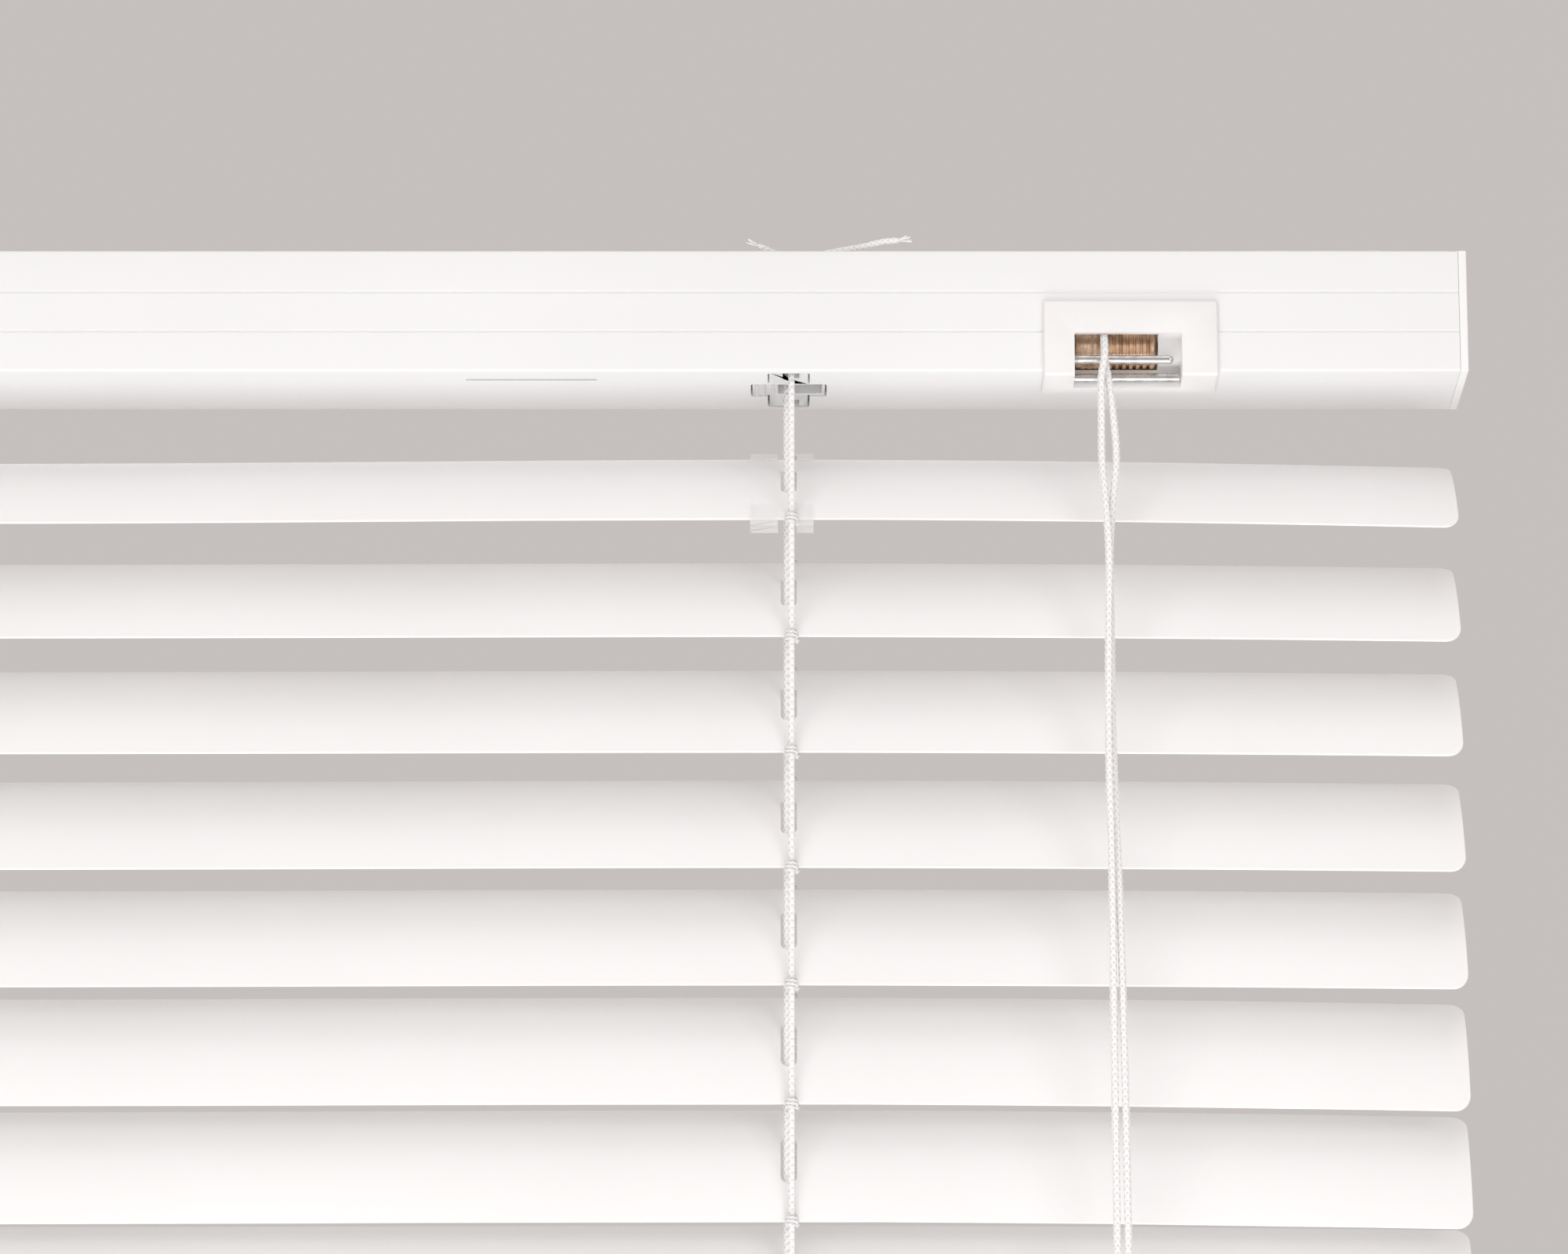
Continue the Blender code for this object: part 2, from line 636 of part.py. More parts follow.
def build_lift_cords(string, group):
    """Each lift cord from the bottom rail, through the slats, along the headrail to the lock."""
    inside = BOTTOM_TOP - 4 * MM
    lock_rear = (216 * MM, 9.2 * MM)
    for word, x, level, lock_x in (
        ("right", LADDER_X + LIFT_CORD_SHIFT, -9.5 * MM, PULL_X - 0.95 * MM),
        ("left", LIFT_CORD_SHIFT - LADDER_X, -6 * MM, PULL_X + 0.95 * MM),
    ):
        points = [
            (x, 0, inside),
            (x, 0, RAIL_FLOOR),
            (x + 0.1 * MM, 0.5 * MM, -22.4 * MM),
            (x + 0.8 * MM, 2.6 * MM, -21.4 * MM),
            (x + 2.4 * MM, 5.5 * MM, -21 * MM),
            (x + 4.6 * MM, 8 * MM, -19 * MM),
            (x + 7 * MM, 9 * MM, -15 * MM),
            (x + 11 * MM, 9.2 * MM, (level - 15 * MM) / 2),
            (x + 17 * MM, 9.2 * MM, level),
            (lock_rear[0], lock_rear[1], level),
            (lock_x - 5.5 * MM, 6 * MM, -9.4 * MM + (level + 9.5 * MM) / 2),
            (lock_x - 1.2 * MM, 1 * MM, -9.4 * MM),
            (lock_x, -1.6 * MM, -10.4 * MM),
            (lock_x, -3 * MM, -12 * MM),
        ]
        take(tube(f"lift_cord_{word}", points, CORD_RADIUS), group, string)


def build_pull_cords(string, group):
    """Both pull cords: side by side over the roller, then one before the other past the pin."""
    over_roller = {
        1: (
            (-0.95, -3.7, -13.1),
            (-0.95, -5.2, -13.7),
            (-0.95, -7.4, -13.9),
            (-0.85, -9.4, -14.5),
            (-0.50, -10.7, -15.8),
            (-0.15, -11.35, -17.2),
            (0.00, -11.55, -18.1),
            (0.00, -12.1, -19.0),
            (0.00, -13.2, -19.95),
            (0.00, -14.3, -21.4),
            (-0.05, -14.85, -22.8),
            (-0.35, -15.1, -25.0),
        ),
        2: (
            (0.95, -3.7, -13.1),
            (0.95, -5.2, -13.9),
            (0.95, -7.4, -14.3),
            (0.55, -8.8, -15.6),
            (0.20, -9.5, -17.2),
            (0.00, -9.8, -18.6),
            (0.00, -10.4, -19.9),
            (0.00, -11.9, -21.0),
            (0.00, -13.05, -22.6),
            (0.20, -13.3, -24.6),
        ),
    }
    left_route = (
        (-0.70, -15.2, -27.1),
        (-0.80, -15.1, -35.0),
        (-0.80, -15.2, -43.9),
        (-0.30, -15.9, -52.0),
        (0.20, -16.2, -60.0),
        (0.05, -16.4, -76.0),
        (-0.20, -16.6, -99.0),
        (0.10, -16.7, -123.0),
        (0.15, -16.8, -146.0),
        (0.20, -16.9, -170.0),
        (0.35, -17.4, -210.0),
        (0.45, -18.0, -260.0),
        (0.50, -18.5, -310.0),
        (0.50, -18.6, -325.7),
    )
    right_route = (
        (0.60, -13.6, -27.1),
        (1.50, -13.8, -35.0),
        (1.95, -14.0, -43.9),
        (1.20, -14.3, -52.0),
        (0.60, -14.3, -60.0),
        (0.60, -14.5, -76.0),
        (0.70, -14.7, -99.0),
        (1.40, -15.2, -123.0),
        (1.90, -15.9, -146.0),
        (2.20, -16.8, -170.0),
        (2.40, -17.4, -210.0),
        (2.45, -18.0, -260.0),
        (2.50, -18.5, -310.0),
        (2.50, -18.6, -325.7),
    )
    for number, route in ((1, left_route), (2, right_route)):
        points = [(PULL_X + x * MM, y * MM, z * MM) for x, y, z in over_roller[number] + route]
        take(tube(f"pull_cord_{number}", points, CORD_RADIUS), group, string)


def build_tassel(white, group):
    """A bell-shaped tassel below the ends of both pull cords."""
    outline = [
        (0, 0),
        (2.6 * MM, 0),
        (3.0 * MM, -2 * MM),
        (3.4 * MM, -8 * MM),
        (4.4 * MM, -16 * MM),
        (TASSEL_RADIUS, -24 * MM),
        (TASSEL_RADIUS, -28 * MM),
        (4.4 * MM, 1.2 * MM - TASSEL_HEIGHT),
        (2.6 * MM, -TASSEL_HEIGHT),
        (0, -TASSEL_HEIGHT),
    ]
    tassel = turned("tassel", outline)
    tassel.location = (TASSEL_X, TASSEL_Y, TASSEL_TOP)
    take(tassel, group, white)


def build_bottom_rail(white, group, shapes):
    """The hollow bottom rail with holes for the lift cords, and its two caps."""
    half = BOTTOM_DEPTH / 2
    low = BOTTOM_TOP - BOTTOM_HEIGHT
    outer = rounded_box(half, low, BOTTOM_TOP, BOTTOM_CORNER)
    wall = RAIL_WALL
    inner = rounded_box(half - wall, low + wall, BOTTOM_TOP - wall, BOTTOM_CORNER - wall)
    end = SLAT_LENGTH / 2 - CAP_PLATE - GAP
    rail = profile("bottom_rail", [outer, inner], -end, end)
    for side in (-1, 1):
        x = side * LADDER_X + LIFT_CORD_SHIFT
        hole = rod("cut_cord", (x, 0, BOTTOM_TOP - 3 * MM), (x, 0, BOTTOM_TOP + 1 * MM), 1.3 * MM, 16)
        boolean(rail, hole, "DIFFERENCE", shapes)
    take(rail, group, white)
    for side, word in ((1, "right"), (-1, "left")):
        near, far = sorted((side * (end + GAP), side * SLAT_LENGTH / 2))
        cap = profile(f"bottom_cap_{word}", [outer], near, far)
        plug_outline = rounded_box(
            half - wall - GAP, low + wall + GAP, BOTTOM_TOP - wall - GAP, BOTTOM_CORNER - wall - GAP
        )
        ends = sorted((side * (end - 8 * MM), side * (end + 0.8 * MM)))
        plug = profile("join_plug", [plug_outline], *ends)
        boolean(cap, plug, "UNION", shapes)
        take(cap, group, white)


def main():
    clear_scene()
    group = new_collection("venetian_blind")
    shapes = new_collection("cutters")
    white = new_material("white_pvc", (0.86, 0.85, 0.83), 0.42)
    clear = new_material("clear_plastic", (0.82, 0.84, 0.84), 0.18)
    nylon = new_material("nylon", (0.78, 0.77, 0.74), 0.5)
    string = new_material("white_string", (0.80, 0.79, 0.77), 0.85)
    steel = new_material("bright_steel", (0.62, 0.62, 0.63), 0.28, 1.0)
    zinc = new_material("zinc_plate", (0.66, 0.67, 0.68), 0.42, 1.0)
    brass = new_material("brass", (0.72, 0.52, 0.22), 0.32, 1.0)
    build_headrail(white, group, shapes)
    build_end_caps(white, group, shapes)
    build_brackets(zinc, group, shapes)
    build_cradles(clear, group, shapes)
    build_tilt_shaft(steel, nylon, group, shapes)
    build_tilter(white, steel, group, shapes)
    build_wand(clear, steel, group, shapes)
    build_cord_lock(white, brass, steel, group, shapes)
    build_slats(white, group, shapes)
    build_ladders(string, group)
    build_lift_cords(string, group)
    build_pull_cords(string, group)
    build_tassel(white, group)
    build_bottom_rail(white, group, shapes)


main()
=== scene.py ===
"""White venetian blind: its finished pieces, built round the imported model.

Lengths are in millimetres until a mesh is made. X runs along the headrail towards the cord
lock, the front faces -Y, and Z is up from the plane that the brackets are screwed to.
"""

import logging
import math
import random
from dataclasses import dataclass
from enum import Enum
from typing import Callable, Iterable, Optional, Sequence

import bpy
from mathutils import Matrix, Vector


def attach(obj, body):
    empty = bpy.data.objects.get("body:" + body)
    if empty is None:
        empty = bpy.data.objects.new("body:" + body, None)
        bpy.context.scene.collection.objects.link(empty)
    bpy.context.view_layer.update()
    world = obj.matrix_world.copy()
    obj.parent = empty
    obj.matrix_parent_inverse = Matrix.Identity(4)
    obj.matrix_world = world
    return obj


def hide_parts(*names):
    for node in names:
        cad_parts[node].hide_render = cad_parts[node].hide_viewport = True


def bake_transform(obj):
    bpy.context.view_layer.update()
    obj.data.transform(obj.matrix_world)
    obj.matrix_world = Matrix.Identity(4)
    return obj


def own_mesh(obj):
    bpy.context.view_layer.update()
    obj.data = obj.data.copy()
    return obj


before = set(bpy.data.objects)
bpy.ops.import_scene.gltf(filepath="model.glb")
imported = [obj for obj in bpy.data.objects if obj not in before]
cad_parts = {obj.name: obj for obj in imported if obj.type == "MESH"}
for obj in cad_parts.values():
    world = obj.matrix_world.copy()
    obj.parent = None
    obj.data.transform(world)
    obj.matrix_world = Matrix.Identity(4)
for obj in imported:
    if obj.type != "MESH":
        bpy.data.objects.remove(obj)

MM = 0.001
WELD = 1e-6
log = logging.getLogger("blind")

Point = Sequence[float]
Colour = tuple[float, float, float]
Test = Callable[[Vector, Vector], bool]


class Element(Enum):
    """What a selection is made of."""

    EDGE = "EDGE"
    FACE = "FACE"


class Join(Enum):
    """What a second solid does to the first."""

    CUT = "DIFFERENCE"
    ADD = "UNION"
    KEEP = "INTERSECT"


class Lay(Enum):
    """How a cord or wire is made."""

    BRAIDED = "braided"
    TWISTED = "twisted"
    PLAIN = "plain"


def mid(a: Point, b: Point) -> Vector:
    """The point halfway between two points."""
    return (Vector(a) + Vector(b)) / 2


class Workbench:
    """The tools that every piece is shaped with."""

    def clear(self) -> None:
        """Leaves edit mode and lets go of everything."""
        if bpy.context.object and bpy.context.object.mode != "OBJECT":
            bpy.ops.object.mode_set(mode="OBJECT")
        bpy.ops.object.select_all(action="DESELECT")

    def only(self, piece: bpy.types.Object) -> None:
        """Selects one piece and makes it the active one."""
        self.clear()
        piece.select_set(True)
        bpy.context.view_layer.objects.active = piece

    def taken(self, name: str) -> bpy.types.Object:
        """Names the newest piece and moves its place, turn and scale into its mesh."""
        piece = bpy.context.object
        piece.name = name
        bpy.ops.object.transform_apply(location=True, rotation=True, scale=True)
        return piece

    def block(self, name: str, low: Point, high: Point) -> bpy.types.Object:
        """A box between two corners.

        Args:
            name: The piece's name.
            low: Lowest corner.
            high: Highest corner.

        Returns:
            The new piece.
        """
        self.clear()
        size = (Vector(high) - Vector(low)) * MM
        bpy.ops.mesh.primitive_cube_add(size=1, location=mid(low, high) * MM, scale=size)
        return self.taken(name)

    def rod(
        self, name: str, start: Point, end: Point, radius: float, sides: int = 32
    ) -> bpy.types.Object:
        """A round bar between two points.

        Args:
            name: The piece's name.
            start: Middle of the first end.
            end: Middle of the second end.
            radius: The bar's radius.
            sides: Faces round it.

        Returns:
            The new piece.
        """
        self.clear()
        along = Vector(end) - Vector(start)
        bpy.ops.mesh.primitive_cylinder_add(
            vertices=sides,
            radius=radius * MM,
            depth=along.length * MM,
            location=mid(start, end) * MM,
            rotation=along.to_track_quat("Z", "X").to_euler(),
        )
        return self.taken(name)

    def dot(self, name: str, place: Point) -> bpy.types.Object:
        """A piece of one vertex, open in edit mode, from which an outline is drawn."""
        self.clear()
        bpy.ops.mesh.primitive_plane_add(size=MM, location=(0, 0, 0))
        piece = bpy.context.object
        piece.name = name
        bpy.ops.object.mode_set(mode="EDIT")
        bpy.ops.mesh.select_mode(type="VERT")
        bpy.ops.mesh.select_all(action="SELECT")
        bpy.ops.mesh.merge(type="CENTER")
        bpy.ops.transform.translate(value=Vector(place) * MM)
        return piece

    def turn(
        self,
        name: str,
        outline: Sequence[tuple[float, float]],
        origin: Point,
        axis: Point = (0, 0, 1),
        steps: int = 40,
    ) -> bpy.types.Object:
        """A turned piece: an outline spun once round an axis.

        Args:
            name: The piece's name.
            outline: (radius, distance along the axis) pairs, from one end to the other.
            origin: Where distance 0 is.
            axis: The axis' direction.
            steps: Faces round the piece.

        Returns:
            The new piece, its normals outwards.
        """
        piece = self.dot(name, (outline[0][0], 0, outline[0][1]))
        for (radius, along), (next_radius, next_along) in zip(outline, outline[1:]):
            step = {"value": ((next_radius - radius) * MM, 0, (next_along - along) * MM)}
            bpy.ops.mesh.extrude_vertices_move(TRANSFORM_OT_translate=step)
        bpy.ops.mesh.select_all(action="SELECT")
        bpy.ops.mesh.spin(steps=steps, angle=math.tau, center=(0, 0, 0), axis=(0, 0, 1))
        bpy.ops.mesh.select_all(action="SELECT")
        bpy.ops.mesh.remove_doubles(threshold=WELD)
        bpy.ops.mesh.normals_make_consistent(inside=False)
        self.clear()
        turn = Vector(axis).to_track_quat("Z", "X").to_matrix().to_4x4()
        piece.data.transform(Matrix.Translation(Vector(origin) * MM) @ turn)
        return piece

    def pick(self, piece: bpy.types.Object, kind: Element, test: Test) -> None:
        """Opens a piece in edit mode with only the wanted elements selected.

        Args:
            piece: The piece to open.
            kind: What is selected.
            test: Says yes to an element, from its middle in millimetres and its normal,
                or an edge's direction.
        """
        self.only(piece)
        bpy.ops.object.mode_set(mode="EDIT")
        bpy.ops.mesh.select_mode(type=kind.value)
        bpy.ops.mesh.select_all(action="DESELECT")
        bpy.ops.object.mode_set(mode="OBJECT")
        mesh = piece.data
        if kind is Element.FACE:
            for face in mesh.polygons:
                face.select = test(face.center / MM, face.normal)
        else:
            for edge in mesh.edges:
                a, b = (mesh.vertices[i].co for i in edge.vertices)
                edge.select = test((a + b) / 2 / MM, (b - a).normalized())
        bpy.ops.object.mode_set(mode="EDIT")

    def round_edges(
        self, piece: bpy.types.Object, radius: float, segments: int, test: Test
    ) -> bpy.types.Object:
        """Bevels the edges that a test says yes to."""
        self.pick(piece, Element.EDGE, test)
        bpy.ops.mesh.bevel(offset=radius * MM, offset_type="OFFSET", segments=segments)
        self.clear()
        return piece

    def modify(self, piece: bpy.types.Object, kind: str, **settings: object) -> bpy.types.Object:
        """Adds a modifier with the given settings and applies it."""
        self.only(piece)
        step = piece.modifiers.new(kind.lower(), kind)
        for name, value in settings.items():
            setattr(step, name, value)
        bpy.ops.object.modifier_apply(modifier=step.name)
        return piece

    def soften(
        self, piece: bpy.types.Object, radius: float, segments: int = 2, angle: float = 40
    ) -> bpy.types.Object:
        """Rounds every edge that is sharper than an angle in degrees."""
        return self.modify(
            piece,
            "BEVEL",
            width=radius * MM,
            segments=segments,
            limit_method="ANGLE",
            angle_limit=math.radians(angle),
            use_clamp_overlap=True,
        )

    def shape(
        self, piece: bpy.types.Object, how: Join, tools: Iterable[bpy.types.Object]
    ) -> bpy.types.Object:
        """Cuts, joins or keeps a piece by other solids, which are then thrown away."""
        for tool in tools:
            self.modify(piece, "BOOLEAN", object=tool, operation=how.value, solver="EXACT")
            bpy.data.objects.remove(tool)
        if not piece.data.polygons:
            log.warning("%s: nothing is left of it", piece.name)
        return piece

    def trace(self, node: str, name: str) -> bpy.types.Object:
        """A merged, simplified copy of a frame node's mesh, ready to be refined."""
        piece = bpy.data.objects.new(name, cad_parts[node].data.copy())
        bpy.context.scene.collection.objects.link(piece)
        self.pick(piece, Element.FACE, lambda place, normal: True)
        bpy.ops.mesh.remove_doubles(threshold=WELD)
        bpy.ops.mesh.dissolve_limited(angle_limit=math.radians(1))
        self.clear()
        return piece

    def copy(self, piece: bpy.types.Object, name: str, place: Matrix) -> bpy.types.Object:
        """A copy of a piece with its own mesh, moved in its mesh."""
        made = bpy.data.objects.new(name, piece.data.copy())
        made.data.transform(place)
        bpy.context.scene.collection.objects.link(made)
        return made

    def discard(self, *pieces: bpy.types.Object) -> None:
        """Removes patterns that only their copies are kept of."""
        for piece in pieces:
            bpy.data.objects.remove(piece)


bench = Workbench()


class Graph:
    """A material's nodes, with short ways to add and join them."""

    def __init__(self, name: str) -> None:
        """Starts a material that holds one shader."""
        self.material = bpy.data.materials.new(name)
        self.material.use_nodes = True
        self.nodes = self.material.node_tree.nodes
        self.shader = self.nodes["Principled BSDF"]

    def add(self, kind: str, sockets: Optional[dict] = None, **settings: object) -> bpy.types.Node:
        """Adds a node.

        Args:
            kind: The node's type, without the usual prefix.
            sockets: Input name or number to a value, or to an output to link from.
            settings: The node's own properties.

        Returns:
            The new node.
        """
        node = self.nodes.new("ShaderNode" + kind)
        for name, value in settings.items():
            setattr(node, name, value)
        for key, value in (sockets or {}).items():
            self.feed(node, key, value)
        return node

    def feed(self, node: bpy.types.Node, key: object, value: object) -> None:
        """Sets an input to a value, or links it from an output."""
        if isinstance(value, bpy.types.NodeSocket):
            self.material.node_tree.links.new(value, node.inputs[key])
        else:
            node.inputs[key].default_value = value

    def place(self, scale: Point, source: str = "Object") -> bpy.types.NodeSocket:
        """The piece's own coordinates, stretched."""
        origin = self.add("TexCoord").outputs[source]
        return self.add("Mapping", {"Vector": origin, "Scale": scale}).outputs["Vector"]

    def noise(
        self, vector: bpy.types.NodeSocket, scale: float, detail: float = 3
    ) -> bpy.types.NodeSocket:
        """A noise pattern's value."""
        sockets = {"Vector": vector, "Scale": scale, "Detail": detail}
        return self.add("TexNoise", sockets).outputs["Fac"]

    def blend(self, factor: bpy.types.NodeSocket, low: Colour, high: Colour,
              span: tuple[float, float] = (0.35, 0.65)) -> bpy.types.NodeSocket:
        """A colour between two, by a pattern's value within a span."""
        ramp = self.add("ValToRGB", {"Fac": factor})
        for element, place, colour in zip(ramp.color_ramp.elements, span, (low, high)):
            element.position = place
            element.color = (*colour, 1)
        return ramp.outputs["Color"]

    def spread(self, factor: bpy.types.NodeSocket, low: float, high: float) -> bpy.types.NodeSocket:
        """A pattern's value spread between two numbers."""
        sockets = {"Value": factor, "From Min": 0.3, "From Max": 0.7, "To Min": low, "To Max": high}
        return self.add("MapRange", sockets).outputs["Result"]

    def bump(
        self, height: bpy.types.NodeSocket, depth: float, under: object = None
    ) -> bpy.types.NodeSocket:
        """A bump of a depth in millimetres, on another bump if one is given."""
        sockets = {"Height": height, "Strength": 1.0, "Distance": depth * MM}
        if under is not None:
            sockets["Normal"] = under
        return self.add("Bump", sockets).outputs["Normal"]

    def finish(self, **sockets: object) -> bpy.types.Material:
        """Feeds the shader's inputs, whose names have underscores here, and gives the material."""
        for name, value in sockets.items():
            self.feed(self.shader, name.replace("_", " "), value)
        return self.material


def shade(colour: Colour, share: float) -> Colour:
    """A colour made darker or lighter by a share."""
    return tuple(min(1.0, part * share) for part in colour)


@dataclass(frozen=True)
class Finish:
    """A surface that a piece can be given.

    Fields: name of the material, record slot, main colour and roughness.
    """

    name: str
    slot: str
    colour: Colour
    roughness: float

    def material(self) -> bpy.types.Material:
        """The finish as a material, made the first time that it is asked for.

        The frame's own materials have the slots' names, so a finish has a name of its own.
        """
        label = f"finish_{self.name}"
        return bpy.data.materials.get(label) or self.mix(Graph(label))

    def mix(self, graph: Graph) -> bpy.types.Material:
        """Builds the nodes; each kind of finish has its own."""
        raise NotImplementedError


@dataclass(frozen=True)
class Pvc(Finish):
    """Extruded PVC: die lines along X, a fine grain and faint cloudiness."""

    def mix(self, graph: Graph) -> bpy.types.Material:
        """Builds the nodes."""
        lines = graph.noise(graph.place((3, 900, 900)), 1.0, 2)
        cloud = graph.noise(graph.place((1, 1, 1)), 14, 3)
        grain = graph.noise(graph.place((1, 1, 1)), 2600, 2)
        colour = graph.blend(cloud, shade(self.colour, 0.975), self.colour)
        normal = graph.bump(grain, 0.006, graph.bump(lines, 0.010))
        rough = graph.spread(cloud, self.roughness - 0.05, self.roughness + 0.05)
        return graph.finish(Base_Color=colour, Roughness=rough, Normal=normal,
                            Subsurface_Weight=0.06, Subsurface_Radius=(0.002, 0.0018, 0.0015),
                            Coat_Weight=0.12, Coat_Roughness=0.3)


@dataclass(frozen=True)
class Moulded(Finish):
    """Injection moulded plastic: an even spark-eroded grain."""

    def mix(self, graph: Graph) -> bpy.types.Material:
        """Builds the nodes."""
        cloud = graph.noise(graph.place((1, 1, 1)), 60, 4)
        grain = graph.add("TexVoronoi", {"Vector": graph.place((1, 1, 1)), "Scale": 3200})
        colour = graph.blend(cloud, shade(self.colour, 0.965), self.colour)
        normal = graph.bump(grain.outputs["Distance"], 0.008)
        rough = graph.spread(cloud, self.roughness - 0.06, self.roughness + 0.06)
        return graph.finish(Base_Color=colour, Roughness=rough, Normal=normal,
                            Subsurface_Weight=0.1, Subsurface_Radius=(0.002, 0.0018, 0.0015))


@dataclass(frozen=True)
class Clear(Finish):
    """Clear plastic with faint flow marks."""

    transmission: float = 0.8

    def mix(self, graph: Graph) -> bpy.types.Material:
        """Builds the nodes."""
        flow = graph.noise(graph.place((1, 1, 0.3)), 420, 3)
        colour = graph.blend(flow, shade(self.colour, 0.96), self.colour)
        rough = graph.spread(flow, self.roughness - 0.04, self.roughness + 0.08)
        return graph.finish(Base_Color=colour, Roughness=rough, Normal=graph.bump(flow, 0.03),
                            Transmission_Weight=self.transmission, IOR=1.46)


@dataclass(frozen=True)
class Film(Finish):
    """Thin clear plastic that the light goes straight through."""

    cover: float = 0.25

    def mix(self, graph: Graph) -> bpy.types.Material:
        """Builds the nodes."""
        flow = graph.noise(graph.place((1, 1, 1)), 500, 3)
        colour = graph.blend(flow, shade(self.colour, 0.97), self.colour)
        rough = graph.spread(flow, self.roughness - 0.03, self.roughness + 0.06)
        return graph.finish(Base_Color=colour, Roughness=rough, Normal=graph.bump(flow, 0.02),
                            Alpha=self.cover)


@dataclass(frozen=True)
class Metal(Finish):
    """Bare metal with drawn lines along one way, dull spots and tarnish."""

    tarnish: Colour = (0.3, 0.3, 0.3)
    grain: Point = (60, 2600, 2600)
    spots: float = 500

    def mix(self, graph: Graph) -> bpy.types.Material:
        """Builds the nodes."""
        drawn = graph.noise(graph.place(self.grain), 1.0, 3)
        spots = graph.noise(graph.place((1, 1, 1)), self.spots, 4)
        colour = graph.blend(spots, self.tarnish, self.colour, (0.3, 0.56))
        rough = graph.spread(spots, self.roughness + 0.15, self.roughness - 0.05)
        return graph.finish(Base_Color=colour, Metallic=1.0, Roughness=rough,
                            Normal=graph.bump(drawn, 0.012))


@dataclass(frozen=True)
class Painted(Finish):
    """White painted steel with a light orange-peel surface."""

    def mix(self, graph: Graph) -> bpy.types.Material:
        """Builds the nodes."""
        peel = graph.noise(graph.place((1, 1, 1)), 700, 2)
        wear = graph.noise(graph.place((1, 1, 1)), 190, 5)
        colour = graph.blend(wear, shade(self.colour, 0.86), self.colour, (0.28, 0.42))
        rough = graph.spread(peel, self.roughness - 0.05, self.roughness + 0.08)
        return graph.finish(Base_Color=colour, Roughness=rough, Normal=graph.bump(peel, 0.03),
                            Coat_Weight=0.2, Coat_Roughness=0.2)


@dataclass(frozen=True)
class Braid(Finish):
    """Braided polyester: two sets of crossing strands, which follow the cord's own map, with
    painted shade in the grooves between them.
    """

    strands: int = 4

    def mix(self, graph: Graph) -> bpy.types.Material:
        """Builds the nodes."""
        turn = 0.2 * math.pi
        ways = []
        for way in (1, -1):
            across = graph.place((turn * self.strands, way * turn * 2, 1), "UV")
            wave = {"Vector": across, "Scale": 1.0, "Distortion": 0.4, "Detail": 1.0}
            strands = graph.add("TexWave", wave, bands_direction="DIAGONAL")
            ways.append(strands.outputs["Fac"])
        weave = graph.add("Math", {0: ways[0], 1: ways[1]}, operation="MAXIMUM").outputs["Value"]
        fibre = graph.noise(graph.place((90, 14, 1), "UV"), 1.0, 3)
        # painted shade: the colour darkens where the weave is low, in the grooves between the
        # strands
        colour = graph.blend(weave, shade(self.colour, 0.84), self.colour, (0.12, 0.8))
        normal = graph.bump(fibre, 0.03, graph.bump(weave, 0.14))
        rough = graph.spread(fibre, self.roughness - 0.08, self.roughness + 0.05)
        return graph.finish(Base_Color=colour, Roughness=rough, Normal=normal,
                            Sheen_Weight=0.35, Sheen_Roughness=0.4, Subsurface_Weight=0.1,
                            Subsurface_Radius=(0.001, 0.001, 0.001))


SLAT_WHITE = Pvc("slat_white", "slat_pvc", (0.925, 0.923, 0.92), 0.42)
RAIL_WHITE = Pvc("headrail_white", "headrail_pvc", (0.865, 0.867, 0.87), 0.4)
BASE_WHITE = Pvc("bottom_rail_white", "bottom_rail_pvc", (0.89, 0.88, 0.87), 0.42)
CAP_WHITE = Moulded("cap_white", "headrail_pvc", (0.915, 0.915, 0.915), 0.45)
BASE_CAP_WHITE = Moulded("bottom_cap_white", "bottom_rail_pvc", (0.9, 0.89, 0.88), 0.45)
MOULDED_WHITE = Moulded("moulded_white", "moulded_white", (0.88, 0.872, 0.867), 0.4)
NYLON = Moulded("nylon", "nylon", (0.78, 0.77, 0.73), 0.5)
CLEAR = Clear("clear_plastic", "clear_plastic", (0.965, 0.97, 0.97), 0.16, 0.24)
CLIP_CLEAR = Film("clip_plastic", "clear_plastic", (0.96, 0.965, 0.965), 0.3, 0.24)
WAND_CLEAR = Clear("wand_acrylic", "wand_plastic", (0.94, 0.965, 0.965), 0.08, 0.85)
ROD_STEEL = Metal("rod_zinc", "rod_steel", (0.6, 0.61, 0.63), 0.34, (0.42, 0.43, 0.44))
WIRE_STEEL = Metal("bright_wire", "wire_steel", (0.64, 0.635, 0.63), 0.2, (0.42, 0.41, 0.4))
BRASS = Metal("roller_brass", "roller_brass", (0.93, 0.69, 0.49), 0.3, (0.5, 0.33, 0.22),
              (2600, 300, 300), 420)
PAINTED = Painted("painted_steel", "bracket_steel", (0.84, 0.84, 0.83), 0.38)
SCREW_ZINC = Metal("screw_zinc", "bracket_steel", (0.72, 0.73, 0.76), 0.3, (0.45, 0.45, 0.47))
STRING = Braid("ladder_string", "ladder_string", (0.95, 0.945, 0.94), 0.75, 3)
FIBRE = Moulded("loose_fibre", "ladder_string", (0.93, 0.925, 0.92), 0.7)
CORD = Braid("lift_cord", "lift_cord", (0.95, 0.944, 0.937), 0.7, 4)


def dress(
    piece: bpy.types.Object,
    finish: Finish,
    body: Optional[str] = None,
    stands_for: Sequence[str] = (),
    angle: float = 35,
) -> bpy.types.Object:
    """Gives a piece its finish, smooth faces, body and the frame nodes that it stands for.

    Args:
        piece: The piece, in its place.
        finish: Its surface.
        body: The body that it rides on, or None where it spans between two.
        stands_for: The frame nodes that it takes the place of.
        angle: Edges sharper than this, in degrees, stay sharp.

    Returns:
        The same piece.
    """
    bench.only(piece)
    bpy.ops.object.shade_smooth_by_angle(angle=math.radians(angle))
    bench.clear()
    piece.data.materials.clear()
    piece.data.materials.append(finish.material())
    if body:
        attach(piece, body)
    if stands_for:
        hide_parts(*stands_for)
    return piece


